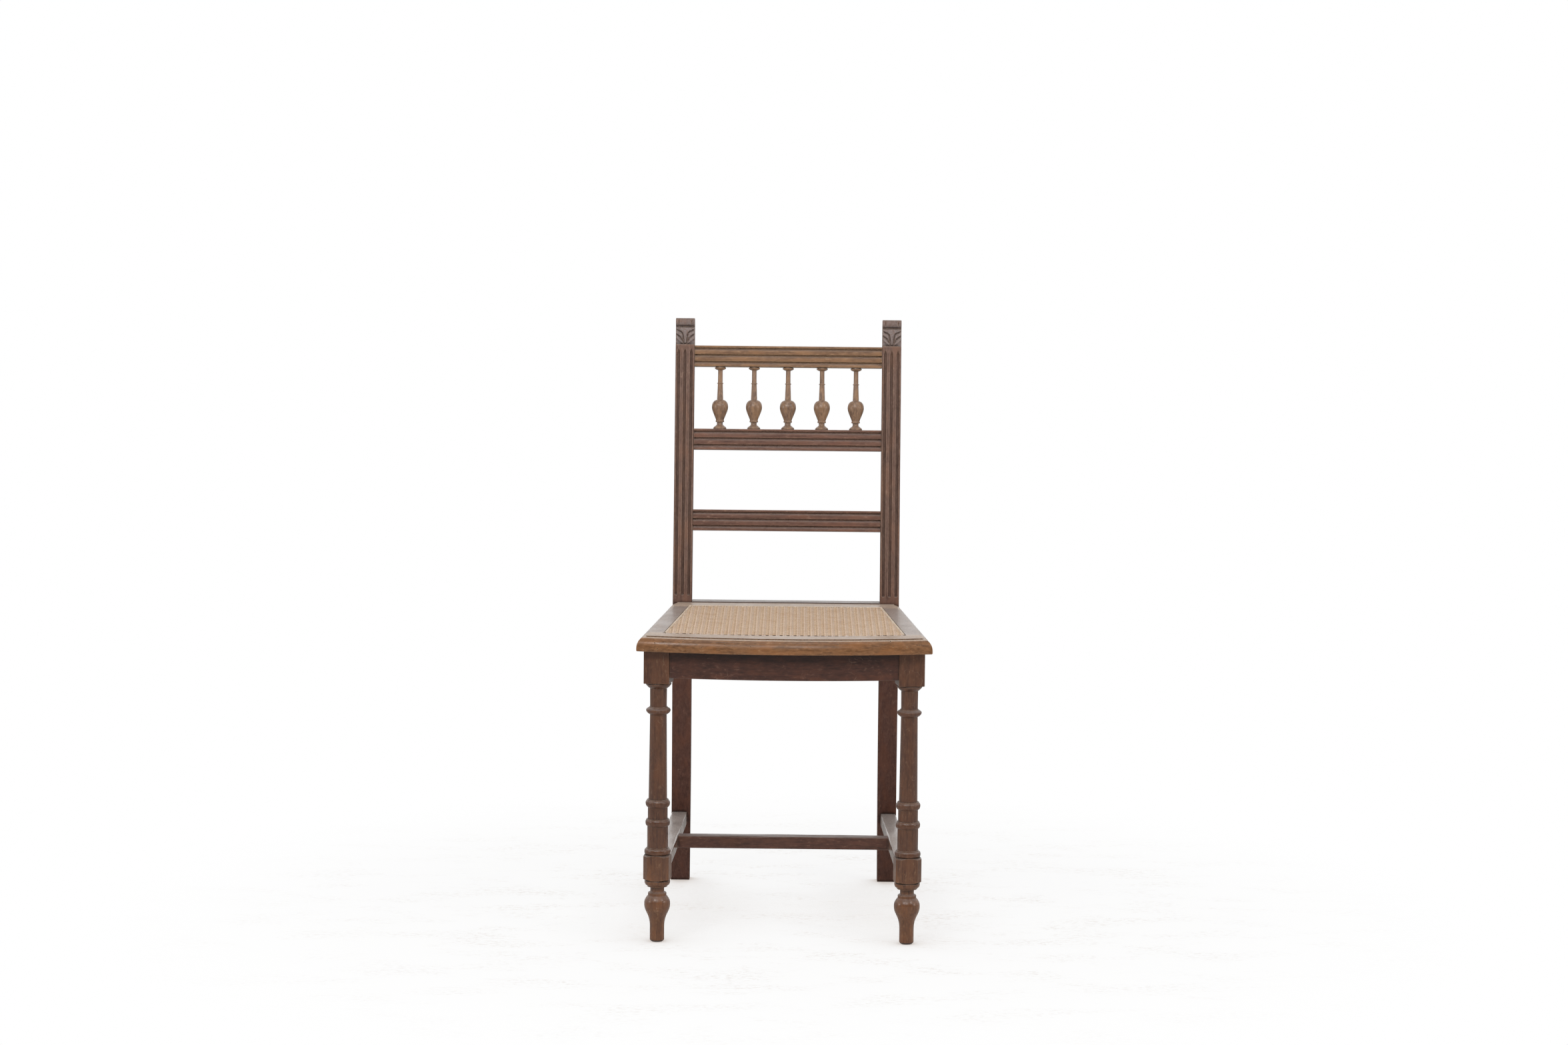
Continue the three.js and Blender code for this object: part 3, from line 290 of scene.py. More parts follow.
SPINDLE_NECK = (
    (4.7, 0.472), (3.85, 0.728), (4.8, 0.728), (4.8, 0.742), (3.7, 0.742), (3.6, 0.946),
    (7.5, 0.962), (8.8, 0.978), (8.8, 0.989), (7.5, 0.989), (7.5, 1),
)

# Stretchers
STRETCHER_TOP = 115.5
STRETCHER_BOTTOM = 96.5
STRETCHER_WIDTH = 24
STRETCHER_ROUND = 2.2
STRETCHER_FRONT_INSET = 2.2
STRETCHER_REAR_INSET = 0.6
STRETCHER_FRONT_X = LEG_X - STRETCHER_FRONT_INSET
STRETCHER_REAR_X = POST_X + (POST_WIDTH - STRETCHER_WIDTH) / 2 - STRETCHER_REAR_INSET
STRETCHER_SLANT = math.atan2(STRETCHER_FRONT_X - STRETCHER_REAR_X, POST_SETBACK + FOOT_KICK)
CROSS_DEPTH = 21
CROSS_SETBACK = 226
SIDE_WEAR = 0.35
CROSS_WEAR = 0.4
WEAR_MARGIN = 2
WEAR_START = STRETCHER_BOTTOM + WEAR_MARGIN

# Patterns in the wood: scale, detail and roughness of the noise, and how far the grain
# stretches it. Depths and reaches of a material are in metres.
STREAKS = (820, 4, 0.6)
BANDS = (230, 3, 0.5)
MOTTLE = (290, 4, 0.6)
BLOTS = (62, 3, 0.55)
PATCHES = (24, 3, 0.55)
PORES = (1900, 2, 0.5)
FINE = (520, 4, 0.65)
GRAIN_STRETCH = 0.05
LOOSE_STRETCH = 0.4
WEAR_REACH = 0.0018
HOLLOW_REACH = 0.006
GRAIN_RELIEF = 0.00014
WEAVE_REACH = 0.003
CANE_RELIEF = 0.0001
CONTACT_REACH = 0.2

# Floor, room and lamps, in metres. A lamp has its direction from the chair in degrees
# round and up, its distance, its width and its power.
FLOOR_HALF = 12
FLOOR_DROP = 0.0002
FADE = (0.3, 1.1)
ROOM_FRONT = 0.1
ROOM_BACK = 0.3
LAMP_TARGET = Vector((0, 0, 0.45))
LAMPS = {
    "left softbox": (-27, 36, 3.2, 0.5, 25),
    "right softbox": (50, 36, 3.2, 0.6, 19),
    "front softbox": (0, 34, 3.4, 0.9, 26),
    "top softbox": (-10, 74, 2.4, 1.2, 11.5),
    "left side softbox": (-72, 12, 3.2, 0.9, 16),
    "right side softbox": (68, 10, 3.2, 0.9, 14),
}

# Camera, fitted to the photograph: place, angles, and a lens for a film 36 mm wide
CAMERA_RIGHT = 20.2144
CAMERA_BACK = 5700
CAMERA_HEIGHT = 1251.6972
CAMERA_YAW = 0.0040
CAMERA_PITCH = 0.1104
CAMERA_ROLL = 0.0100
LENS = 90.78
FILM_WIDTH = 36
CLIP_END = 100

LEAN = Matrix.Translation((0, POST_SETBACK, SEAT_HEIGHT)) @ Matrix.Rotation(-BACK_LEAN, 4, "X")


def leaning_point(forward, along):
    """Depth and height of a point given in the leaning back."""
    place = LEAN @ Vector((0, forward, along))
    return place.y, place.z


def bezier(points, steps):
    """Points along a quadratic or cubic curve, without its first point."""
    made = []
    for step in range(1, steps + 1):
        share = step / steps
        level = [np.array(p, float) for p in points]
        while len(level) > 1:
            level = [a * (1 - share) + b * share for a, b in zip(level, level[1:])]
        made.append(tuple(level[0]))
    return made


def soften(points, radius, closed=False, least_turn=math.radians(25)):
    """Rounds the sharp corners of a line of points of any dimension."""
    points = [np.array(p, float) for p in points]
    count = len(points)
    made = []
    for i, point in enumerate(points):
        if not closed and i in (0, count - 1):
            made.append(point)
            continue
        before = points[i - 1] - point
        after = points[(i + 1) % count] - point
        lengths = np.linalg.norm(before), np.linalg.norm(after)
        bend = 0
        if min(lengths) > 1e-6:
            bend = math.pi - math.acos(np.clip(before @ after / lengths[0] / lengths[1], -1, 1))
        if bend < least_turn:
            made.append(point)
            continue
        reach = min(radius, lengths[0] * 0.4, lengths[1] * 0.4)
        start = point + before / lengths[0] * reach
        end = point + after / lengths[1] * reach
        made += [start, start * 0.25 + point * 0.5 + end * 0.25, end]
    return made


def mesh_from(vertices, faces):
    mesh = bpy.data.meshes.new("shape")
    mesh.from_pydata([tuple(v) for v in vertices], [], [tuple(f) for f in faces])
    mesh.update()
    return mesh


def linked(name, data):
    """A new object in the scene."""
    made = bpy.data.objects.new(name, data)
    bpy.context.scene.collection.objects.link(made)
    return made


def skinned(rings, closed=False):
    """A solid through rings of points that follow each other. Its two ends are closed,
    unless the last ring joins the first."""
    count = len(rings[0])
    steps = len(rings) if closed else len(rings) - 1
    faces = []
    for ring in range(steps):
        low = ring * count
        high = (ring + 1) % len(rings) * count
        for i in range(count):
            j = (i + 1) % count
            faces.append((low + i, low + j, high + j, high + i))
    if not closed:
        last = steps * count
        faces += [range(count - 1, -1, -1), range(last, last + count)]
    return mesh_from([point for ring in rings for point in ring], faces)


def turned(profile, sides):
    """A closed turning about Z from points of radius and height, bottom first."""
    angles = [2 * math.pi * i / sides for i in range(sides)]
    return skinned([[(radius * math.cos(a), radius * math.sin(a), height) for a in angles]
                    for radius, height in soften(profile, TURNED_ROUND)])


def prism(outline, bottom, top):
    """An upright solid from an anticlockwise outline of X and Y."""
    return skinned([[(x, y, z) for x, y in outline] for z in (bottom, top)])


def box_mesh(low, high):
    (x0, y0, z0), (x1, y1, z1) = low, high
    return prism([(x0, y0), (x1, y0), (x1, y1), (x0, y1)], z0, z1)


def moved(mesh, matrix):
    mesh.transform(matrix)
    return mesh


def combined(meshes):
    made = bmesh.new()
    for mesh in meshes:
        made.from_mesh(mesh)
    whole = bpy.data.meshes.new("shape")
    made.to_mesh(whole)
    made.free()
    return whole


def reshaped(mesh, change):
    """The mesh after a change to its editable form."""
    made = bmesh.new()
    made.from_mesh(mesh)
    change(made)
    made.to_mesh(mesh)
    made.free()
    return mesh


def face_outwards(made):
    bmesh.ops.recalc_face_normals(made, faces=made.faces)


def oriented(mesh):
    return reshaped(mesh, face_outwards)


def bevelled(mesh, width, segments=3):
    """Rounds the sharp edges of a mesh in place."""

    def change(made):
        edges = [e for e in made.edges
                 if len(e.link_faces) == 2 and e.calc_face_angle() > SHARP_ANGLE]
        bmesh.ops.bevel(made, geom=edges, offset=width, segments=segments, profile=0.5,
                        affect="EDGES", clamp_overlap=True)

    return reshaped(mesh, change)


def boolean(base, operation, *tools):
    """The mesh left when each tool is joined to, cut from or kept in common with the base."""
    body = linked("base", base)
    helpers = [linked("tool", tool) for tool in tools]
    for helper in helpers:
        modifier = body.modifiers.new("cut", "BOOLEAN")
        modifier.operation = operation
        modifier.solver = "MANIFOLD"
        modifier.object = helper
    bpy.context.view_layer.update()
    shaped = body.evaluated_get(bpy.context.evaluated_depsgraph_get())
    result = bpy.data.meshes.new_from_object(shaped)
    for helper in [body, *helpers]:
        bpy.data.objects.remove(helper)
    return result


def add_piece(name, mesh, material, replaced):
    """Puts a finished mesh, in millimetres, into the scene in place of a node."""
    mesh.transform(PLACE)
    mesh.name = name
    mesh.materials.clear()
    mesh.materials.append(material)
    mesh.polygons.foreach_set("use_smooth", [True] * len(mesh.polygons))
    mesh.set_sharp_from_angle(angle=SHARP_ANGLE)
    piece = linked(name, mesh)
    weighted = piece.modifiers.new("even shading", "WEIGHTED_NORMAL")
    weighted.keep_sharp = True
    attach(piece, "root")
    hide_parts(replaced)


def linear(red, green, blue, share=1):
    """A colour given in screen values from 0 to 255, as the shader wants it."""
    made = []
    for value in (red, green, blue):
        level = share * value / 255
        made.append(level / 12.92 if level <= 0.04045 else ((level + 0.055) / 1.055) ** 2.4)
    return (*made, 1)


class Nodes:
    """Short ways to make and join shader nodes in a material or the world."""

    def __init__(self, owner):
        self.owner = owner
        owner.use_nodes = True
        self.tree = owner.node_tree
        self.tree.nodes.clear()

    def add(self, kind, inputs=None, **settings):
        node = self.tree.nodes.new(f"ShaderNode{kind}")
        for key, value in settings.items():
            setattr(node, key, value)
        for key, value in (inputs or {}).items():
            self.join(value, node.inputs[key])
        return node

    def join(self, value, socket):
        if isinstance(value, bpy.types.NodeSocket):
            self.tree.links.new(value, socket)
        else:
            socket.default_value = value

    def math(self, operation, a, b=0.0, clamp=False):
        return self.add("Math", {0: a, 1: b}, operation=operation, use_clamp=clamp).outputs[0]

    def times(self, a, b):
        return self.math("MULTIPLY", a, b)

    def plus(self, a, b, clamp=False):
        return self.math("ADD", a, b, clamp)

    def mix(self, share, a, b, blend="MIX"):
        node = self.add("Mix", data_type="RGBA", blend_type=blend)
        for socket, value in ((0, share), (6, a), (7, b)):
            self.join(value, node.inputs[socket])
        return node.outputs[2]

    def steps(self, value, low, high, to_low=0.0, to_high=1.0):
        inputs = {"Value": value, "From Min": low, "From Max": high,
                  "To Min": to_low, "To Max": to_high}
        return self.add("MapRange", inputs, interpolation_type="SMOOTHSTEP").outputs[0]

    def place(self, kind="Object"):
        return self.add("TexCoord").outputs[kind]

    def part(self, vector, axis):
        return self.add("SeparateXYZ", {0: vector}).outputs[axis]

    def stretched(self, vector, scale):
        return self.add("Mapping", {"Vector": vector, "Scale": scale}).outputs[0]

    def noise(self, vector, scale, detail, rough=0.55):
        inputs = {"Vector": vector, "Scale": scale, "Detail": detail, "Roughness": rough}
        return self.add("TexNoise", inputs).outputs[0]

    def openness(self, reach, samples):
        return self.add("AmbientOcclusion", {"Distance": reach}, samples=samples).outputs["AO"]

    def relief(self, height, strength, depth):
        inputs = {"Height": height, "Strength": strength, "Distance": depth}
        return self.add("Bump", inputs).outputs[0]

    def principled(self, colour, rough, **more):
        inputs = {"Base Color": colour, "Roughness": rough}
        inputs |= {key.replace("_", " "): value for key, value in more.items()}
        return self.finish(self.add("BsdfPrincipled", inputs).outputs[0])

    def finish(self, shader, output="OutputMaterial"):
        self.add(output, {"Surface": shader})
        return self.owner


def grain_scale(axis, stretch):
    scale = [1, 1, 1]
    scale["XYZ".index(axis)] = stretch
    return scale


def film_share(n, upright, fine, bloom):
    """How much a dry grey film covers, between two heights."""
    low_start, low_end, high_start, high_end = bloom
    film = n.times(n.steps(upright, low_start, low_end),
                   n.steps(upright, high_start, high_end, 1.0, 0.0))
    return n.times(film, n.steps(fine, 0.35, 0.62, 0.3, 0.95))


def scratch_share(n, own, place, patches, depth):
    """Thin winding scratches, here and there."""
    lines = [n.math("ABSOLUTE", n.math("SUBTRACT", n.noise(vector, scale, 0.0), 0.5))
             for vector, scale in ((place, 41.0), (own, 57.0))]
    line = n.steps(n.math("MINIMUM", *lines), 0.001, 0.004, depth, 0.0)
    line = n.times(line, n.steps(n.noise(place, 60.0, 2.0), 0.54, 0.64))
    return n.times(line, n.steps(patches, 0.42, 0.55))


def worn_edges(n, normal, fine):
    """Where the arrises are rubbed: the true and a rounded surface face apart."""
    rounded = n.add("Bevel", {"Radius": WEAR_REACH}, samples=6).outputs[0]
    facing = n.add("VectorMath", {0: rounded, 1: normal}, operation="DOT_PRODUCT")
    return n.times(n.steps(facing.outputs["Value"], 0.99, 0.9), n.steps(fine, 0.3, 0.55))


def wood(name, axis, deep, body, ruddy, worn, wear=0.5, dust_and_sheen=0.3, gloss=0.4, offset=0.0,
         heights=None, bloom=None, scratches=0.0, dust_and_sheen_from=0.2, dust_and_sheen_colour=(148, 138, 132),
         shine=0.3):
    """Stained and waxed wood with its grain along one axis: darker in the streaks, painted darker
    in the hollows as shade, a little redder in patches, rubbed pale on the arrises, and dusty
    with a painted pale sheen where it faces up. Heights gives two heights in metres and the
    colour that tints the wood below the first (above it on the apron, where the tint is a
    painted shadow under the seat). Bloom gives the heights between which a dry grey film
    begins and ends."""
    n = Nodes(bpy.data.materials.new(name))
    own = n.place()
    place = n.add("Mapping", {"Vector": own, "Location": [offset] * 3}).outputs[0]
    along = n.stretched(place, grain_scale(axis, GRAIN_STRETCH))
    loose = n.stretched(place, grain_scale(axis, LOOSE_STRETCH))
    streaks = n.noise(along, *STREAKS)
    mottle = n.noise(loose, *MOTTLE)
    patches = n.noise(place, *PATCHES)
    fine = n.noise(place, *FINE)

    tone = n.plus(n.times(streaks, 0.4), n.times(n.noise(along, *BANDS), 0.3))
    tone = n.plus(tone, n.times(mottle, 0.3))
    colour = n.mix(n.steps(tone, 0.32, 0.6), linear(*deep), linear(*body))
    colour = n.mix(n.steps(n.noise(loose, *BLOTS), 0.45, 0.7, 0.0, 0.6), colour, linear(*ruddy))
    pale = n.times(n.steps(mottle, 0.56, 0.7), n.steps(patches, 0.4, 0.65, 0.1, 0.4))
    colour = n.mix(pale, colour, linear(*worn))
    pores = n.steps(n.noise(along, *PORES), 0.58, 0.72, 0.0, 0.25)
    colour = n.mix(pores, colour, linear(*deep, 0.6))

    upright = n.part(own, "Z")
    # A tint by height; on the apron it is a painted shadow under the seat.
    if heights:
        low, high, tint = heights
        colour = n.mix(n.steps(upright, low, high, 1.0, 0.0), colour, tint, "MULTIPLY")
    if bloom:
        colour = n.mix(film_share(n, upright, fine, bloom), colour, linear(134, 125, 123))

    normal = n.add("NewGeometry").outputs["Normal"]
    # Painted shade: the wood is darkened where the surface is hemmed in, in hollows, grooves and
    # under overhangs.
    painted_hollow_shade = n.steps(n.openness(HOLLOW_REACH, 8), 0.93, 0.4, 0.0, 0.85)
    colour = n.mix(painted_hollow_shade, colour, linear(*deep, 0.55))
    colour = n.mix(n.times(worn_edges(n, normal, fine), wear), colour, linear(*worn))
    # Partly dust, partly a painted pale sheen: faces that look up are greyed and made a little
    # rougher.
    facing_up = n.times(n.steps(n.part(normal, "Z"), dust_and_sheen_from, 0.97),
                      n.steps(fine, 0.25, 0.7, 0.5, 1.0))
    dust_and_sheen_share = n.times(facing_up, n.steps(mottle, 0.3, 0.6, 0.75, 1.0))
    colour = n.mix(n.times(dust_and_sheen_share, dust_and_sheen), colour, linear(*dust_and_sheen_colour))
    if scratches:
        line = scratch_share(n, own, place, patches, scratches)
        colour = n.mix(line, colour, linear(150, 122, 104))

    rough = n.steps(patches, 0.3, 0.7, gloss - 0.06, gloss + 0.1)
    rough = n.plus(rough, n.times(facing_up, 0.1), clamp=True)
    grain = n.plus(n.times(streaks, 0.7), n.times(pores, -1.5))
    grain = n.plus(grain, n.times(mottle, 1.2))
    return n.principled(colour, rough, Normal=n.relief(grain, 0.35, GRAIN_RELIEF),
                        Specular_IOR_Level=shine, Coat_Weight=shine / 2, Coat_Roughness=0.22)


def cane(name, light, tan):
    """Split cane: glossy pale skin with darker streaks and painted shade low in the weave."""
    n = Nodes(bpy.data.materials.new(name))
    place = n.place()
    fine = n.noise(place, 700.0, 4.0, 0.6)
    patches = n.noise(place, 45.0, 3.0, 0.6)
    colour = n.mix(n.steps(fine, 0.3, 0.7), linear(*tan), linear(*light))
    colour = n.mix(n.steps(patches, 0.45, 0.75, 0.0, 0.6), colour, linear(*tan))
    # Painted shade where the strands hem each other in, low in the weave.
    painted_hollow_shade = n.steps(n.openness(WEAVE_REACH, 6), 0.8, 0.15, 0.0, 0.55)
    colour = n.mix(painted_hollow_shade, colour, linear(108, 80, 60))
    return n.principled(colour, n.steps(patches, 0.3, 0.7, 0.38, 0.6), Specular_IOR_Level=0.5,
                        Normal=n.relief(fine, 0.3, CANE_RELIEF))


def steel(name):
    """Bare screw steel with spots of rust."""
    n = Nodes(bpy.data.materials.new(name))
    fine = n.noise(n.place(), 900.0, 4.0, 0.6)
    colour = n.mix(n.steps(fine, 0.4, 0.7), linear(120, 116, 110), linear(84, 66, 52))
    return n.principled(colour, n.steps(fine, 0.3, 0.7, 0.35, 0.6), Metallic=1.0)


def bead(profile, inner, outer, top):
    """A half-round collar from the profile's last height up to another."""
    bottom = profile[-1][1]
    middle = (bottom + top) / 2
    profile.append((inner, bottom))
    profile += bezier([(inner, bottom), (outer, bottom), (outer, middle)], BEAD_STEPS)
    profile += bezier([(outer, middle), (outer, top), (inner, top)], BEAD_STEPS)


def ring(profile, shaft, top):
    """A ring on the shaft: a full slope below, widest above its middle, a thin fillet on top."""
    bottom = profile[-1][1]
    height = top - bottom
    start = (shaft + RING_EDGE, bottom)
    widest = (RING_RADIUS, bottom + 0.57 * height)
    neck = (shaft + RING_FILLET, bottom + 0.91 * height)
    profile.append(start)
    profile += bezier([start, (shaft + RING_SWELL, bottom + 0.1 * height),
                       (RING_RADIUS, bottom + 0.3 * height), widest], RING_STEPS)
    profile += bezier([widest, (RING_RADIUS, bottom + 0.75 * height), neck], BEAD_STEPS)
    profile.append((shaft + RING_FILLET, top))


def leg_profile():
    profile = [*FOOT, *bezier(VASE, VASE_STEPS), *bezier(VASE_SHOULDER, BEAD_STEPS), *NECK,
               *bezier(BASE_STEP, SMALL_STEPS), *LOW_BLOCK_CORE]
    bead(profile, COLLAR_INNER, COLLAR_OUTER, COLLAR_TOP)
    profile.append((COLLAR_INNER, COLLAR_FILLET_TOP))
    for start, end, bottom, top in SHAFTS:
        profile += [(start, profile[-1][1]), (end, bottom)]
        ring(profile, end, top)
    profile += [*SHAFT_HEAD, *bezier(CAPITAL, SMALL_STEPS), *CAPITAL_TOP]
    return profile


def chamfered_square(width, chamfer):
    half = width / 2
    inner = half - chamfer
    return [(inner, -half), (half, -inner), (half, inner), (inner, half),
            (-inner, half), (-half, inner), (-half, -inner), (-inner, -half)]


def low_block():
    """The block that takes the stretcher, chamfered and rounded off at both ends."""
    solid = prism(chamfered_square(BLOCK_WIDTH, LOW_BLOCK_CHAMFER), LOW_BLOCK_BOTTOM, LOW_BLOCK_TOP)
    outer = BLOCK_WIDTH / math.sqrt(2)
    rounding = turned([
        (LOW_BLOCK_ENDS[0], LOW_BLOCK_BOTTOM), (outer, LOW_BLOCK_BOTTOM + LOW_BLOCK_SHOULDER),
        (outer, LOW_BLOCK_TOP - LOW_BLOCK_SHOULDER), (LOW_BLOCK_ENDS[1], LOW_BLOCK_TOP),
    ], LEG_SIDES)
    return boolean(bevelled(solid, LOW_BLOCK_ARRIS, 2), "INTERSECT", rounding)


def upper_block(clearance):
    half = BLOCK_WIDTH / 2 + clearance
    low = (-half, -half, BLOCK_BOTTOM - clearance)
    return box_mesh(low, (half, half, APRON_TOP + clearance))


def leg_place(side):
    return Matrix.Translation((side * LEG_X, 0, 0)) @ Matrix.Rotation(side * BLOCK_TURN, 4, "Z")


def front_leg(side):
    block = bevelled(upper_block(0), BLOCK_ARRIS)
    whole = boolean(turned(leg_profile(), LEG_SIDES), "UNION", low_block(), block)
    return moved(whole, leg_place(side))


def leg_depth(height, base, kick):
    """Depth of a face of the back leg below the knee, on its parabola."""
    rise = APRON_BOTTOM - 2 * LEG_CURVE_HEIGHT
    root = math.sqrt(LEG_CURVE_HEIGHT**2 + rise * height)
    share = height / (LEG_CURVE_HEIGHT + root)
    return base + kick * (1 - share) ** 2


def post_rows():
    """Matching points up the front and up the back of a post, as depth, height and a
    place along the face. The two chains meet behind the scroll."""
    rows = []
    for z in np.linspace(0, APRON_BOTTOM, LEG_ROWS):
        front = leg_depth(z, POST_SETBACK, FOOT_KICK)
        back = leg_depth(z, POST_SETBACK + POST_DEPTH, FOOT_KICK + FOOT_DEPTH - POST_DEPTH)
        rows.append((front, z, back, z, z - SEAT_HEIGHT))
    for z in np.linspace(APRON_BOTTOM, SEAT_HEIGHT, APRON_ROWS)[1:-1]:
        rows.append((POST_SETBACK, z, POST_SETBACK + POST_DEPTH, z, z - SEAT_HEIGHT))
    runs = [np.linspace(*run)[1:] for run in FACE_RUNS]
    for along in [0, *np.concatenate(runs), *FACE_LAST_ROWS]:
        back = POST_DEPTH + (POST_TOP_DEPTH - POST_DEPTH) * along / FACE_LENGTH
        rows.append((*leaning_point(0, along), *leaning_point(back, along), along))
    panel = np.linspace(FACE_LENGTH + PANEL_STEP, PANEL_TOP, PANEL_ROWS)
    fronts = [(PANEL_RECESS, along, along) for along in panel]
    depth = SCROLL_RADIUS - SCROLL_FORWARD
    height = PANEL_TOP + SCROLL_RADIUS
    for i, angle in enumerate(np.linspace(SCROLL_START, SCROLL_END, SCROLL_ROWS)):
        fronts.append((depth + SCROLL_RADIUS * math.cos(angle),
                       height + SCROLL_RADIUS * math.sin(angle), PANEL_TOP + 1 + i))
    backs = bezier([(POST_TOP_DEPTH, FACE_LENGTH), (POST_TOP_DEPTH, height), fronts[-1][:2]],
                   len(fronts))
    for front, back in zip(fronts, backs):
        rows.append((*leaning_point(*front[:2]), *leaning_point(*back), front[2]))
    return rows


def flute_depth(x, along):
    """Depth of the three stopped flutes, round below and running to a point above."""
    if not FLUTE_BOTTOM < along < FLUTE_TOP:
        return 0
    radius = (FLUTE_WIDTH**2 / 4 + FLUTE_DEPTH**2) / (2 * FLUTE_DEPTH)
    start = min(1, (along - FLUTE_BOTTOM) / FLUTE_START)
    point = min(1, (FLUTE_TOP - along) / FLUTE_POINT)
    depth = FLUTE_DEPTH * min(math.sqrt(1 - (1 - start) ** 2), point)
    centre = radius - FLUTE_DEPTH
    reach = centre + depth
    away = min(abs(x - POST_WIDTH * (share - 0.5)) for share in FLUTE_SHARES)
    if away >= reach:
        return 0
    return max(0, math.sqrt(reach**2 - away**2) - centre)


def line_distance(x, up, line):
    """Distance from a point to a line of points."""
    nearest = math.inf
    for (x0, u0), (x1, u1) in zip(line, line[1:]):
        run, rise = x1 - x0, u1 - u0
        share = ((x - x0) * run + (up - u0) * rise) / (run * run + rise * rise)
        share = min(1, max(0, share))
        nearest = min(nearest, math.hypot(x - x0 - share * run, up - u0 - share * rise))
    return nearest


def line_height(x, line):
    return np.interp(x, [p[0] for p in line], [p[1] for p in line])


def leaf_height(x, up):
    """Height of the carved leaf over the sunk ground. The middle lobe flares out under the
    scroll, two lobes curl out on each side, and the lower corners are cut away."""
    side = abs(x)
    distances = [line_distance(side, up, line) for line in LEAF_LINES]
    corner = LEAF_LINES[2]
    if side > corner[0][0] and up < line_height(side, corner):
        foot = PANEL_RECESS * LEAF_CROWN_SHARE * (1 - LEAF_CUT_SHARE)
        return foot * math.exp(-((distances[2] / LEAF_FOOT) ** 2))
    nearest = min(distances)
    crown = (LEAF_CROWN_SHARE
             + (1 - LEAF_CROWN_SHARE) * min(1, nearest / LEAF_CROWN) ** 0.6)
    cut = 1 - LEAF_CUT_SHARE * math.exp(-((nearest / LEAF_CUT) ** 2))
    if side < STEM_HALF or up > line_height(side, LEAF_LINES[0]):
        spread = side / (1 + FLARE * max(0, (up - FLARE_START) / FLARE_LENGTH) ** 2)
        vein = VEIN_DEPTH * (0.5 - 0.5 * math.cos(min(spread, VEIN_REACH) * VEIN_WAVE))
    else:
        wave = math.cos((side * LOBE_VEIN_SLANT - up) * LOBE_VEIN_WAVE)
        vein = LOBE_VEIN_DEPTH * (0.5 + 0.5 * wave)
    notch = NOTCH_DEPTH * math.exp(-((side / NOTCH_HALF) ** 2) - ((up / NOTCH_HEIGHT) ** 2))
    marks = TOOL_MARKS * math.sin(2.3 * x + 1.1 * up) * math.sin(1.7 * up - 0.6 * x)
    end = min(1, max(0, (PANEL_LENGTH - up) / LEAF_END)) ** 0.7
    return max(0, (PANEL_RECESS * crown * cut - vein - notch + marks) * end)


def nick_depth(x, step):
    """A short nick across the front of the scroll near each end."""
    away = abs(abs(x) - (POST_WIDTH / 2 - NICK_INSET))
    along = max(0, 1 - abs(step - NICK_STEP) / NICK_STEPS)
    return NICK_DEPTH * max(0, 1 - away / (NICK_WIDTH / 2)) * along**0.5


def carved_depth(x, along):
    """How far the front of the post lies below its plain outline."""
    if along <= FACE_LENGTH:
        return flute_depth(x, along)
    if along > PANEL_TOP:
        return nick_depth(x, along - PANEL_TOP)
    rise = 1 + LEAF_SINK / PANEL_RECESS
    inside = min(1, (POST_WIDTH / 2 - abs(x)) / ARRIS_ROUND)
    leaf = rise * min(leaf_height(x, along - FACE_LENGTH), PANEL_RECESS)
    under = SCROLL_UNDERCUT * max(0, 1 - (PANEL_TOP - along) / UNDERCUT_LENGTH) ** 0.7
    return (LEAF_SINK + under - leaf) * inside


def post_columns():
    half = POST_WIDTH / 2
    inner = half - ARRIS_ROUND
    rim = [half - ARRIS_ROUND * share for share in RIM_SHARES]
    middle = np.linspace(-inner, inner, round(2 * inner / POST_COLUMN))
    return [-x for x in rim] + list(middle) + rim[::-1]


def arris_inset(x):
    """How far the rounded arris lies inside the full outline."""
    over = max(0, ARRIS_ROUND - (POST_WIDTH / 2 - abs(x)))
    return ARRIS_ROUND - math.sqrt(ARRIS_ROUND**2 - over**2)


def outline_normals(points):
    """Unit normals into the wood for a chain of depths and heights going up the front."""
    run = np.gradient(np.array(points), axis=0)
    run /= np.linalg.norm(run, axis=1)[:, None]
    return np.stack([run[:, 1], -run[:, 0]], 1)


def post_face(chain, inward, columns, sinks):
    """Points of one face of a post, each row of it let in along the normal."""
    return [(x, y + normal[0] * sunk, z + normal[1] * sunk)
            for (y, z), normal, row in zip(chain, inward, sinks)
            for x, sunk in zip(columns, row)]


def grid_faces(rows, width):
    """Faces of the front and back grids of a post and of the strips that join them."""
    behind = rows * width
    faces = []
    for i in range(rows - 1):
        left = i * width
        right = left + width - 1
        for a in range(left, right):
            b = behind + a
            faces.append((a, a + 1, a + width + 1, a + width))
            faces.append((b + 1, b, b + width, b + width + 1))
        faces.append((behind + left, left, left + width, behind + left + width))
        faces.append((right, behind + right, behind + right + width, right + width))
    for j in range(width - 1):
        top = (rows - 1) * width + j
        faces.append((j + 1, j, behind + j, behind + j + 1))
        faces.append((top, top + 1, behind + top + 1, behind + top))
    return faces


def post_mesh(side):
    rows = post_rows()
    columns = post_columns()
    front = [row[:2] for row in rows]
    back = [row[2:4] for row in rows]
    insets = [arris_inset(x) for x in columns]
    carved = [[inset + carved_depth(x, row[4]) for x, inset in zip(columns, insets)]
              for row in rows]
    vertices = post_face(front, outline_normals(front), columns, carved)
    vertices += post_face(back, -outline_normals(back), columns, [insets] * len(rows))
    splayed = []
    for x, y, z in vertices:
        splay = FOOT_SPLAY * max(0, 1 - z / APRON_BOTTOM) ** 2
        splayed.append((side * (POST_X + splay) + x, y, max(0, z)))

    def weld(made):
        bmesh.ops.remove_doubles(made, verts=made.verts, dist=WELD_DISTANCE)
        face_outwards(made)

    return reshaped(mesh_from(splayed, grid_faces(len(rows), len(columns))), weld)


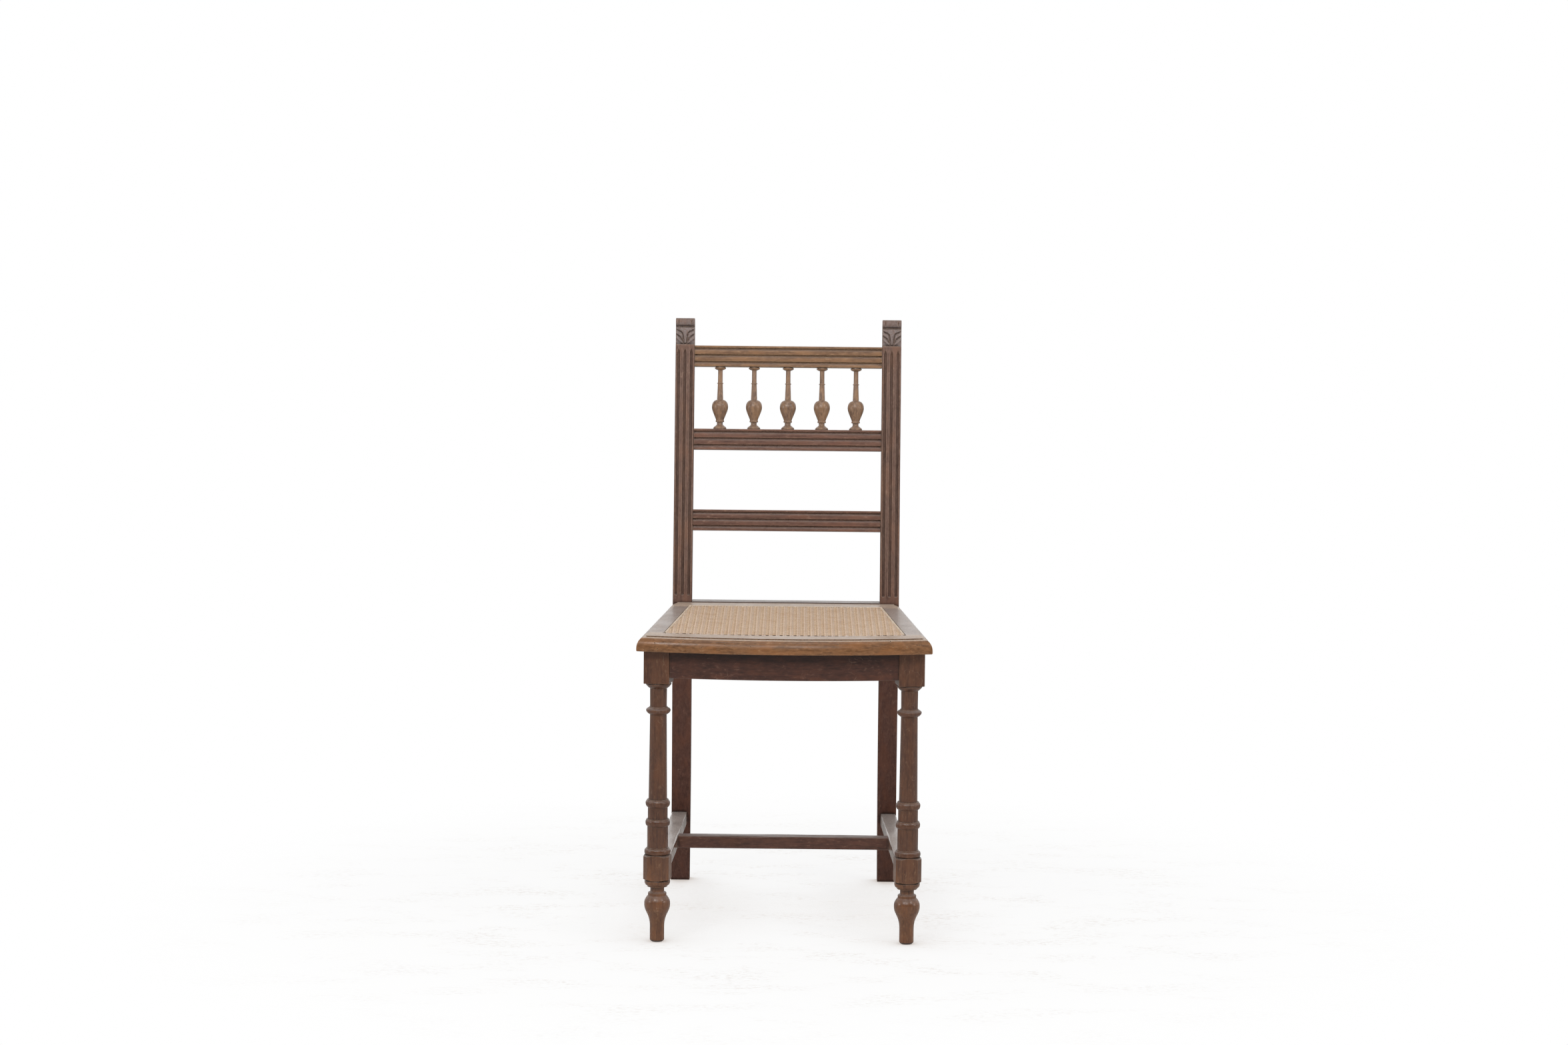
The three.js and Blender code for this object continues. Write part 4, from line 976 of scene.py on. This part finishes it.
def rail_section():
    """Depth and height round the section: three grooves, square above and hollow below."""
    face = RAIL_SETBACK
    back = RAIL_SETBACK + RAIL_THICKNESS
    deep = face + RAIL_GROOVE_DEPTH
    section = [(face, RAIL_HEIGHT)]
    for share in RAIL_GROOVE_SHARES:
        top = RAIL_HEIGHT * (1 - share)
        bottom = top - RAIL_HEIGHT * RAIL_COVE_SHARE
        low = top - RAIL_GROOVE_FLAT
        pull = (face + RAIL_GROOVE_DEPTH * RAIL_COVE_PULL, low)
        section += [(face, top), (deep, top), (deep, low)]
        section += bezier([(deep, low), pull, (face, bottom)], SMALL_STEPS)
    section += [(face, 0), (back, 0), (back, RAIL_HEIGHT)]
    return soften(section, RAIL_ROUND, closed=True)


def rail(place):
    section = rail_section()
    stations = np.linspace(-RAIL_HALF_LENGTH, RAIL_HALF_LENGTH, BAR_STATIONS)
    blank = skinned([[(x, y, z + place) for y, z in section] for x in stations])
    return oriented(moved(blank, LEAN))


def spindle(x):
    shares = [*SPINDLE_FOOT, *bezier(URN, URN_STEPS), *bezier(URN_SHOULDER, RING_STEPS),
              *SPINDLE_NECK]
    length = SPINDLE_TOP - SPINDLE_BOTTOM
    profile = [(radius, SPINDLE_BOTTOM + length * share) for radius, share in shares]
    place = LEAN @ Matrix.Translation((x, SPINDLE_FORWARD, 0))
    return moved(turned(profile, SPINDLE_SIDES), place)


BOW_RADIUS = ((SEAT_FRONT_WIDTH / 2) ** 2 + FRONT_BOW**2) / (2 * FRONT_BOW)
BOW_CENTRE = BOW_RADIUS - CORNER_FORWARD - FRONT_BOW
SIDE_SPLAY = math.atan2((SEAT_FRONT_WIDTH - SEAT_REAR_WIDTH) / 2, SEAT_REAR + CORNER_FORWARD)
CANE_REAR = SEAT_REAR - REAR_MARGIN
OPENING_REAR = CANE_REAR - LEDGE
# The line of holes for the caning
HOLE_BOW_RADIUS = BOW_RADIUS - FRONT_MARGIN - HOLE_INSET
HOLE_REAR = CANE_REAR - HOLE_INSET
ROW_PHASE = HOLE_REAR - HOLE_PITCH * FIRST_ROW_SHARE


def seat_half_width(depth, outward):
    straight = SEAT_FRONT_WIDTH / 2 - (depth + CORNER_FORWARD) * math.tan(SIDE_SPLAY)
    return straight + outward / math.cos(SIDE_SPLAY)


def bow_end(radius, outward):
    """Where a bow of one radius meets the side at one offset."""
    depth = -CORNER_FORWARD
    for _ in range(8):
        depth = BOW_CENTRE - math.sqrt(radius**2 - seat_half_width(depth, outward) ** 2)
    return seat_half_width(depth, outward), depth


FRAME_JOINT = bow_end(BOW_RADIUS - FRONT_MARGIN - LEDGE, -SIDE_MARGIN - LEDGE)[1]


def bow_arc(radius, half_angle, steps, centre=BOW_CENTRE):
    """Points of a bow from left to right."""
    angles = [half_angle * (2 * step / steps - 1) for step in range(steps + 1)]
    return [(radius * math.sin(a), centre - radius * math.cos(a)) for a in angles]


def seat_outline(front, side, rear):
    """Plan points anticlockwise from the front left corner, at offsets from the arris."""
    radius = BOW_RADIUS + front
    corner = bow_end(radius, side)
    points = bow_arc(radius, math.asin(corner[0] / radius), ARC_STEPS)
    depths = np.linspace(corner[1], rear, SIDE_STEPS + 1)[1:]
    points += [(seat_half_width(d, side), d) for d in depths]
    half = seat_half_width(rear, side)
    points += [(x, rear) for x in np.linspace(half, -half, REAR_STEPS + 1)[1:]]
    points += [(-seat_half_width(d, side), d) for d in reversed(depths[:-1])]
    return points


OVOLO_LOW = SEAT_UNDERSIDE + EDGE_CHAMFER + EDGE_FLAT
OVOLO_HIGH = SEAT_HEIGHT - EDGE_QUIRK


def seat_section():
    """Round the section of the seat frame: front offset, side offset, rear depth, height."""
    opening = (-FRONT_MARGIN - LEDGE, -SIDE_MARGIN - LEDGE, OPENING_REAR)
    rebate = (-FRONT_MARGIN, -SIDE_MARGIN, CANE_REAR)
    ledge = SEAT_HEIGHT - LEDGE_DROP
    section = [(*opening, SEAT_UNDERSIDE), (*opening, ledge), (*rebate, ledge),
               (*rebate, SEAT_HEIGHT)]
    edge = [(0, SEAT_HEIGHT), (-QUIRK_UNDERCUT, SEAT_HEIGHT - EDGE_QUIRK / 2),
            (-QUIRK_UNDERCUT, OVOLO_HIGH)]
    for step in range(OVOLO_STEPS, -1, -1):
        angle = math.pi / 2 * step / OVOLO_STEPS
        edge.append((EDGE_FILLET + (EDGE_OVERHANG - EDGE_FILLET) * math.cos(angle),
                     OVOLO_LOW + (OVOLO_HIGH - OVOLO_LOW) * math.sin(angle)))
    edge += [(EDGE_OVERHANG, SEAT_UNDERSIDE + EDGE_CHAMFER),
             (EDGE_OVERHANG - EDGE_CHAMFER, SEAT_UNDERSIDE)]
    section += [(outward, outward, SEAT_REAR, height) for outward, height in edge]
    return soften(section, EDGE_SOFTENING, closed=True)


def seat_blank():
    rings = [[(x, y, height) for x, y in seat_outline(front, side, rear)]
             for front, side, rear, height in seat_section()]
    return oriented(skinned(rings, closed=True))


def hole_places():
    """Centres of the cane holes round the ledge, at an even pitch."""
    outline = seat_outline(-FRONT_MARGIN - HOLE_INSET, -SIDE_MARGIN - HOLE_INSET, HOLE_REAR)
    rear = ARC_STEPS + SIDE_STEPS
    corners = [outline[i] for i in (ARC_STEPS, rear, rear + REAR_STEPS, 0)]
    half_angle = math.asin(corners[0][0] / HOLE_BOW_RADIUS)
    count = round(2 * half_angle * HOLE_BOW_RADIUS / HOLE_PITCH)
    places = bow_arc(HOLE_BOW_RADIUS, half_angle, count)
    for start, end in zip(corners, corners[1:]):
        start, end = np.array(start), np.array(end)
        count = round(np.linalg.norm(end - start) / HOLE_PITCH)
        places += [tuple(start + (end - start) * i / count) for i in range(1, count + 1)]
    return places[:-1]


def drill(diameter, low, high, facets, place):
    """A round cutter along Z between two heights, put into its place."""
    return moved(turned([(diameter / 2, low), (diameter / 2, high)], facets), place)


def cane_holes():
    low = SEAT_UNDERSIDE - DRILL_OVERRUN
    high = SEAT_HEIGHT + DRILL_OVERRUN
    return combined([
        drill(HOLE_DIAMETER, low, high, HOLE_FACETS, Matrix.Translation((x, y, 0)))
        for x, y in hole_places()
    ])


def edge_depth(x, height):
    """Where the moulded front edge lies at one place across and one height."""
    share = min(1, max(0, (height - OVOLO_LOW) / (OVOLO_HIGH - OVOLO_LOW)))
    outward = EDGE_FILLET + (EDGE_OVERHANG - EDGE_FILLET) * math.sqrt(1 - share**2)
    return BOW_CENTRE - math.sqrt((BOW_RADIUS + outward) ** 2 - x**2)


def worm_holes():
    drills = []
    for x, height in WORM_HOLES:
        place = Matrix.Translation((x, edge_depth(x, height), height))
        turn = Matrix.Rotation(math.pi / 2, 4, "X")
        drills.append(drill(WORM_DIAMETER, -WORM_DEPTH, WORM_DEPTH, WORM_FACETS, place @ turn))
    return combined(drills)


def seat_rails():
    """The four rails of the seat frame, cut apart at their joints."""
    drilled = boolean(seat_blank(), "DIFFERENCE", cane_holes(), worm_holes())
    far = SEAT_FRONT_WIDTH
    front = FRAME_JOINT + JOIN_GAP
    rear = OPENING_REAR - JOIN_GAP
    regions = {
        "front": ((-far, -far), (far, FRAME_JOINT)), "back": ((-far, OPENING_REAR), (far, far)),
        "left": ((-far, front), (0, rear)), "right": ((0, front), (far, rear)),
    }
    return {f"seat_{name}_rail": boolean(drilled.copy(), "INTERSECT",
                                         box_mesh((*low, 0), (*high, 2 * SEAT_HEIGHT)))
            for name, (low, high) in regions.items()}


APRON_RADIUS = BOW_RADIUS - CORNER_FORWARD
APRON_CENTRE = (math.sqrt(APRON_RADIUS**2 - (LEG_X - BLOCK_WIDTH / 2) ** 2) - APRON_BACK
                + BLOCK_WIDTH / 2 * math.sin(BLOCK_TURN))


def front_apron():
    """A sawn bow between the leg blocks, its lower arris rounded by wear."""
    inner = APRON_RADIUS - APRON_THICKNESS
    section = soften([(APRON_RADIUS, APRON_BOTTOM), (APRON_RADIUS, APRON_TOP),
                      (inner, APRON_TOP), (inner, APRON_BOTTOM)], ARRIS_ROUND, closed=True)
    half_angle = math.asin(LEG_X / APRON_RADIUS)
    arcs = [bow_arc(radius, half_angle, ARC_STEPS, APRON_CENTRE) for radius, _ in section]
    rings = [[(x, y, height) for (x, y), (_, height) in zip(row, section)]
             for row in zip(*arcs)]
    blocks = [moved(upper_block(JOIN_GAP), leg_place(side)) for side in SIDES.values()]
    return boolean(oriented(skinned(rings)), "DIFFERENCE", *blocks)


def worn_bar(width, place_start, place_end, wear):
    """A stretcher, each point of its section running between two places, with its upper
    part worn down unevenly between the ends."""
    half = width / 2
    square = [(-half, STRETCHER_BOTTOM), (half, STRETCHER_BOTTOM), (half, STRETCHER_TOP),
              (-half, STRETCHER_TOP)]
    section = soften(square, STRETCHER_ROUND, closed=True)
    section = soften(section, STRETCHER_ROUND / 4, closed=True, least_turn=math.radians(30))
    rings = []
    for t in np.linspace(0, 1, BAR_STATIONS):
        ring_points = []
        for u, z in section:
            point = Vector(place_start(u, z)).lerp(Vector(place_end(u, z)), t)
            if z > WEAR_START:
                point.z -= wear * math.sin(9 * t + 2 * u) * math.sin(math.pi * t)
            ring_points.append(tuple(point))
        rings.append(ring_points)
    return oriented(skinned(rings))


def stretcher_x(depth):
    """Distance of a side stretcher's middle from the chair's, at one depth."""
    return STRETCHER_FRONT_X - depth * math.tan(STRETCHER_SLANT)


def side_stretcher(side):
    """Runs from the low block of the front leg to the curved face of the back leg."""
    turn = side * BLOCK_TURN

    def start(u, z):
        x = side * stretcher_x(BLOCK_WIDTH / 2) + u
        into = (x - side * LEG_X) * math.sin(turn)
        return x, (BLOCK_WIDTH / 2 + JOIN_GAP + into) / math.cos(turn), z

    def end(u, z):
        depth = leg_depth(z, POST_SETBACK, FOOT_KICK) - JOIN_GAP
        return side * stretcher_x(depth) + u, depth, z

    return worn_bar(STRETCHER_WIDTH, start, end, SIDE_WEAR)


def cross_stretcher():
    """Let in between the two side stretchers."""

    def end(side, u, z):
        depth = CROSS_SETBACK + u
        return side * (stretcher_x(depth) - STRETCHER_WIDTH / 2 - JOIN_GAP), depth, z

    return worn_bar(CROSS_DEPTH, lambda u, z: end(-1, u, z), lambda u, z: end(1, u, z),
                    CROSS_WEAR)


def cane_half_width(depth):
    """Half width of the line of holes at one depth."""
    return seat_half_width(depth, -SIDE_MARGIN - HOLE_INSET)


def front_line(x):
    return BOW_CENTRE - math.sqrt(HOLE_BOW_RADIUS**2 - x**2)


def strip(points, width, thickness, sideways):
    """A strand with a domed top along points, closed at both ends."""
    points = np.array(points)
    across = np.array(sideways) * width / 2
    crown = points + np.array([0, 0, thickness])
    vertices = np.stack([points - across, points + across, crown], 1).reshape(-1, 3)
    count = len(points)
    faces = []
    for a in range(0, 3 * (count - 1), 3):
        for u, v in ((0, 1), (1, 2), (2, 0)):
            faces.append((a + v, a + u, a + 3 + u, a + 3 + v))
    faces += [(0, 1, 2), (3 * count - 1, 3 * count - 2, 3 * count - 3)]
    return vertices, faces


def joined_shapes(shapes):
    vertices = []
    faces = []
    for points, own in shapes:
        base = len(vertices)
        vertices += [tuple(p) for p in points]
        faces += [[base + i for i in face] for face in own]
    return oriented(mesh_from(vertices, faces))


def sunk_ends(points):
    """Lets the two ends of a strand dip into their holes."""
    first, last = [(x, y, CANE_PLANE - STRAND_DIP) for x, y, _ in (points[0], points[-1])]
    return [first, *points[1:-1], last]


def cell_stations(start, end, phase):
    """Places along a straight strand, close together where it crosses a pair."""
    near = STRAND_SPACING
    quarter = HOLE_PITCH / 4
    offsets = (-2 * quarter, -quarter, -near, -near / 2, 0, near / 2, near, quarter)
    first = math.floor((start - phase) / HOLE_PITCH) - 1
    last = math.ceil((end - phase) / HOLE_PITCH) + 1
    stations = [phase + i * HOLE_PITCH + o for i in range(first, last + 1) for o in offsets]
    inside = [s for s in stations if start + STATION_MARGIN < s < end - STATION_MARGIN]
    return [start, *inside, end]


def crossing_lift(place, phase, parity):
    """Over one strand and under the next of the pair that crosses here."""
    away = (place - phase + HOLE_PITCH / 2) % HOLE_PITCH - HOLE_PITCH / 2
    share = away / STRAND_SPACING
    return parity * WEAVE_LIFT * math.sin(math.pi * share) * math.exp(-(share**2))


def long_strands():
    """Pairs of strands from the front holes to the back or side holes."""
    shapes = []
    half_front = cane_half_width(front_line(cane_half_width(0)))
    columns = int(half_front // HOLE_PITCH)
    for column in range(-columns, columns + 1):
        for parity in (-1, 1):
            x = column * HOLE_PITCH + parity * STRAND_SPACING / 2
            start = front_line(x) - HOLE_INSET + FRONT_CLEARANCE
            end = HOLE_REAR
            if abs(x) > cane_half_width(HOLE_REAR):
                end = (cane_half_width(0) - abs(x)) / math.tan(SIDE_SPLAY)
            if end - start < HOLE_PITCH:
                continue
            points = [(x, y, CANE_PLANE + crossing_lift(y, ROW_PHASE, parity))
                      for y in cell_stations(start, end, ROW_PHASE)]
            points = [points[0], *sunk_ends(points)[1:]]
            shapes.append(strip(points, STRAND_WIDTH, STRAND_THICKNESS, (1, 0, 0)))
    return joined_shapes(shapes)


def row_half(y):
    """Half length of a cross strand at one depth: up to the sides, or short of the bow."""
    half = cane_half_width(y)
    if y > front_line(half):
        return half
    reach = math.sqrt(max(0, HOLE_BOW_RADIUS**2 - (BOW_CENTRE - y) ** 2))
    return reach if reach > HOLE_PITCH else 0


def cross_strands():
    """Pairs of strands from side to side, and the two layers of diagonals."""
    shapes = []
    row = ROW_PHASE
    while row > front_line(0) + HOLE_PITCH * LAST_ROW_SHARE:
        for parity in (-1, 1):
            y = row + parity * STRAND_SPACING / 2
            half = row_half(y)
            if half:
                points = [(x, y, CANE_PLANE - crossing_lift(x, 0, parity))
                          for x in cell_stations(-half, half, 0)]
                shapes.append(strip(sunk_ends(points), STRAND_WIDTH, STRAND_THICKNESS, (0, -1, 0)))
        row -= HOLE_PITCH
    return joined_shapes(shapes + diagonal_strands())


def diagonal_strands():
    """Strands both ways across. One way runs over the long pairs and under the cross
    pairs, the other way the reverse, and both miss the crossings of the pairs."""
    shapes = []
    reach = DIAGONAL_REACH * DIAGONAL_STEPS // 2
    for slope in (-1, 1):
        for k in range(-DIAGONAL_REACH, DIAGONAL_REACH + 1):
            run = []
            for step in range(-reach, reach + 1):
                x = step * HOLE_PITCH / DIAGONAL_STEPS
                y = ROW_PHASE + slope * x + (k + 0.5) * HOLE_PITCH
                if front_line(x) < y < HOLE_REAR and abs(x) < cane_half_width(y):
                    wave = math.cos(2 * math.pi * x / HOLE_PITCH)
                    run.append((x, y, CANE_PLANE + slope * DIAGONAL_LIFT * wave))
            if len(run) >= DIAGONAL_LEAST:
                sideways = Vector((1, -slope, 0)).normalized()
                shapes.append(strip(sunk_ends(run), DIAGONAL_WIDTH, STRAND_THICKNESS, sideways))
    return shapes


def binding_loop(place, across, run):
    """A loop that ties the binding down at one hole, never quite like the next."""
    lean = random.uniform(-LOOP_LEAN, LOOP_LEAN)
    half = BINDING_WIDTH / 2 + random.uniform(*LOOP_OVERHANG)
    rise = BINDING_RISE + random.uniform(*LOOP_RISE) + LOOP_DIP
    loop = [(*(place + across * half * share + run * lean * share),
             CANE_PLANE - LOOP_DIP + rise * math.sqrt(1 - share**2)) for share in LOOP_SHARES]
    return strip(loop, LOOP_WIDTH, STRAND_THICKNESS, (*run, 0))


def binding():
    """The cane laid over the holes of the sides and the back, tied down at each hole."""
    front = cane_half_width(front_line(cane_half_width(0)))
    rear = cane_half_width(HOLE_REAR)
    corners = [(front, front_line(front)), (rear, HOLE_REAR), (-rear, HOLE_REAR),
               (-front, front_line(front))]
    shapes = []
    for start, end in zip(corners, corners[1:]):
        start, end = np.array(start, float), np.array(end, float)
        length = np.linalg.norm(end - start)
        run = (end - start) / length
        across = np.array([run[1], -run[0]])
        count = round(length / HOLE_PITCH)
        line = [(*(start + (end - start) * t),
                 CANE_PLANE + BINDING_RISE * (0.6 + 0.4 * abs(math.sin(math.pi * count * t))))
                for t in np.linspace(0, 1, count * 4 + 1)]
        shapes.append(strip(line, BINDING_WIDTH, BINDING_CROWN, (*across, 0)))
        shapes += [binding_loop(start + (end - start) * i / count, across, run)
                   for i in range(count + 1)]
    return joined_shapes(shapes)


random.seed(7)

# Dust in these woods is partly real dust and partly a painted pale sheen on faces that look up.
leg_wood = wood(
    "leg wood", "Z", (63, 38, 28), (91, 59, 41), (102, 64, 41), (134, 106, 84),
    wear=0.6, dust_and_sheen=0.5, gloss=0.32, shine=0.34, heights=(0.085, 0.15, (1.5, 1.55, 1.42, 1)),
    scratches=0.5)
post_wood = wood(
    "post wood", "Z", (84, 64, 56), (116, 91, 80), (128, 94, 76), (156, 130, 112),
    wear=0.8, dust_and_sheen=0.35, gloss=0.42, shine=0.16, offset=0.3,
    heights=(0.38, 0.52, (0.72, 0.56, 0.54, 1)), bloom=(0.8485, 0.851, 0.877, 0.893),
    scratches=0.4)
rail_wood = wood(
    "rail wood", "X", (78, 54, 46), (115, 84, 71), (123, 84, 67), (162, 130, 109),
    wear=0.95, dust_and_sheen=0.5, gloss=0.42, shine=0.16, offset=0.6)
top_wood = wood(
    "top rail wood", "X", (91, 65, 48), (137, 104, 77), (150, 111, 78), (180, 148, 116),
    wear=0.95, dust_and_sheen=0.5, gloss=0.42, shine=0.16)
spindle_wood = wood(
    "spindle wood", "Z", (76, 51, 38), (141, 108, 80), (152, 114, 78), (162, 131, 104),
    wear=0.5, dust_and_sheen=0.2, gloss=0.46, shine=0.6)
seat_wood_x = wood(
    "seat wood across", "X", (80, 54, 36), (134, 96, 66), (142, 95, 58), (180, 142, 106),
    wear=0.7, dust_and_sheen=0.85, gloss=0.3, scratches=0.3, dust_and_sheen_from=0.8,
    dust_and_sheen_colour=(210, 193, 177), shine=0.2)
seat_wood_y = wood(
    "seat wood along", "Y", (90, 66, 52), (128, 100, 80), (136, 104, 82), (164, 134, 108),
    wear=0.7, dust_and_sheen=0.72, gloss=0.28, dust_and_sheen_from=0.6, dust_and_sheen_colour=(188, 178, 172))
# The heights tint darkens the apron's top as a painted shadow under the seat edge.
apron_wood = wood(
    "apron wood", "X", (44, 26, 21), (74, 45, 36), (94, 56, 40), (124, 96, 80),
    wear=0.6, dust_and_sheen=0.5, gloss=0.36, offset=0.9, scratches=0.8,
    heights=(0.431, 0.414, (0.55, 0.55, 0.6, 1)))
side_wood = wood(
    "side apron wood", "Y", (60, 42, 36), (86, 62, 53), (98, 70, 56), (124, 96, 78),
    gloss=0.5, offset=1.3)
cross_wood = wood(
    "cross stretcher wood", "X", (56, 36, 29), (90, 58, 47), (100, 65, 49), (132, 100, 82),
    wear=0.7, dust_and_sheen=0.4, gloss=0.38)
stretcher_wood = wood(
    "side stretcher wood", "Y", (78, 60, 52), (118, 95, 82), (126, 100, 82), (150, 126, 108),
    wear=0.7, dust_and_sheen=0.95, gloss=0.28, dust_and_sheen_colour=(212, 203, 197), shine=0.7)
back_apron_wood = wood(
    "back apron wood", "X", (70, 54, 48), (104, 84, 76), (110, 86, 74), (140, 116, 104),
    wear=0.3, dust_and_sheen=0.9, dust_and_sheen_colour=(170, 164, 160))
long_cane = cane("cane along", (220, 206, 199), (191, 171, 159))
cross_cane = cane("cane across", (212, 189, 163), (187, 153, 122))
binding_cane = cane("cane binding", (228, 214, 196), (196, 168, 140))
screw_steel = steel("screw steel")

for name, side in SIDES.items():
    add_piece(f"turned_leg_{name}", front_leg(side), leg_wood, f"{name}_front_leg")
    add_piece(f"carved_post_{name}", post_mesh(side), post_wood,
              f"{name}_back_post")

add_piece("moulded_top_rail", rail(RAIL_PLACES["top_rail"]), top_wood, "top_rail")
for name in ("middle_rail", "lower_rail"):
    add_piece(f"moulded_{name}", rail(RAIL_PLACES[name]), rail_wood, name)

for i in range(SPINDLE_COUNT):
    x = SPINDLE_PITCH * (i - (SPINDLE_COUNT - 1) / 2)
    add_piece(f"turned_spindle_{i + 1}", spindle(x), spindle_wood, f"spindle_{i + 1}")

side_rails = ("seat_left_rail", "seat_right_rail")
for name, mesh in seat_rails().items():
    material = seat_wood_y if name in side_rails else seat_wood_x
    add_piece(f"moulded_{name}", mesh, material, name)

add_piece("bowed_apron", front_apron(), apron_wood, "front_apron")
add_piece("long_cane_strands", long_strands(), long_cane, "cane_panel")
add_piece("cross_cane_strands", cross_strands(), cross_cane, "cane_panel")
add_piece("cane_binding", binding(), binding_cane, "cane_panel")
for name, side in SIDES.items():
    add_piece(f"worn_{name}_stretcher", side_stretcher(side), stretcher_wood,
              f"{name}_side_stretcher")
add_piece("worn_cross_stretcher", cross_stretcher(), cross_wood, "cross_stretcher")


def dress_node(node, material):
    """Gives a plain solid its material and softened arrises."""
    node.data.materials.clear()
    node.data.materials.append(material)
    arris = node.modifiers.new("arris", "BEVEL")
    arris.width = NODE_ARRIS * METRES
    arris.segments = 3
    arris.limit_method = "ANGLE"
    arris.angle_limit = SHARP_ANGLE


plain_materials = {"back_apron": back_apron_wood, "side_apron": side_wood,
                   "glue_block": side_wood, "seat_screw": screw_steel}
for name, node in nodes.items():
    for ending, material in plain_materials.items():
        if name.endswith(ending):
            dress_node(node, material)


def floor_material():
    """Pale floor that fades to plain white away from the chair. The camera sees it glow
    evenly, with a painted shadow close to what stands on it."""
    n = Nodes(bpy.data.materials.new("floor"))
    place = n.place()
    broad = n.noise(n.stretched(place, (1, 2.2, 1)), 6.0, 3.0, 0.6)
    speckle = n.noise(n.stretched(place, (1, 1.6, 1)), 90.0, 6.0, 0.8)
    away = n.add("VectorMath", {0: place}, operation="LENGTH").outputs["Value"]
    scuffs = n.times(n.steps(broad, 0.46, 0.68), n.steps(speckle, 0.48, 0.62))
    scuffs = n.times(scuffs, n.steps(away, *FADE, 1.0, 0.0))
    # Painted shadow: the glow is dimmed where the floor is hemmed in by the feet and stretchers.
    near = n.mix(n.steps(n.openness(CONTACT_REACH, 12), 0.45, 0.97),
                 (0.66, 0.6, 0.56, 1), (1, 1, 1, 1))
    glow_with_painted_shadow = n.mix(scuffs, near, (0.84, 0.8, 0.77, 1))
    plain = n.add("BsdfDiffuse", {"Color": (0.92, 0.9, 0.87, 1)}).outputs[0]
    white = n.add("Emission", {"Color": glow_with_painted_shadow, "Strength": 1.0}).outputs[0]
    seen = n.add("LightPath").outputs["Is Camera Ray"]
    share = n.times(n.steps(away, *FADE, 0.9, 1.0), seen)
    return n.finish(n.add("MixShader", {0: share, 1: plain, 2: white}).outputs[0])


def add_floor():
    size = FLOOR_HALF
    mesh = mesh_from([(-size, -size, 0), (size, -size, 0), (size, size, 0), (-size, size, 0)],
                     [(0, 1, 2, 3)])
    mesh.materials.append(floor_material())
    floor = linked("floor", mesh)
    floor.location.z = -FLOOR_DROP


def add_softbox(name, azimuth, elevation, distance, size, power):
    lamp = bpy.data.lights.new(name, "AREA")
    lamp.shape = "RECTANGLE"
    lamp.size = size
    lamp.size_y = size
    lamp.energy = power
    holder = linked(name, lamp)
    a, e = math.radians(azimuth), math.radians(elevation)
    back = Vector((math.sin(a) * math.cos(e), -math.cos(a) * math.cos(e), math.sin(e)))
    holder.location = LAMP_TARGET + back * distance
    holder.rotation_mode = "QUATERNION"
    holder.rotation_quaternion = (-back).to_track_quat("-Z", "Y")


def add_world():
    """A white backdrop behind the chair, and a dimmer room on the camera's side."""
    world = bpy.data.worlds.new("studio")
    bpy.context.scene.world = world
    n = Nodes(world)
    back = n.part(n.place("Generated"), "Y")
    path = n.add("LightPath")
    room = n.steps(back, -0.6, 0.5, ROOM_FRONT, ROOM_BACK)
    mirrored = n.steps(back, -0.6, 0.3, ROOM_FRONT, 1.0)
    more = n.times(n.math("SUBTRACT", mirrored, room), path.outputs["Is Glossy Ray"])
    strength = n.math("MAXIMUM", n.plus(room, more), path.outputs["Is Camera Ray"])
    background = n.add("Background", {"Color": (1, 1, 1, 1), "Strength": strength})
    n.finish(background.outputs[0], "OutputWorld")


def add_camera():
    """Looks at the chair from the photograph's place: yawed, then pitched down, then rolled."""
    data = bpy.data.cameras.new("camera")
    data.lens = LENS
    data.sensor_width = FILM_WIDTH
    data.clip_end = CLIP_END
    camera = linked("camera", data)
    turn = (Matrix.Rotation(CAMERA_YAW, 4, "Z")
            @ Matrix.Rotation(math.pi / 2 - CAMERA_PITCH, 4, "X")
            @ Matrix.Rotation(CAMERA_ROLL, 4, "Z"))
    place = PLACE @ Vector((CAMERA_RIGHT, -CAMERA_BACK, CAMERA_HEIGHT))
    camera.matrix_world = Matrix.Translation(place) @ turn
    bpy.context.scene.camera = camera


add_floor()
for name, lamp in LAMPS.items():
    add_softbox(name, *lamp)
add_world()
add_camera()
bpy.context.scene.view_settings.view_transform = "Standard"
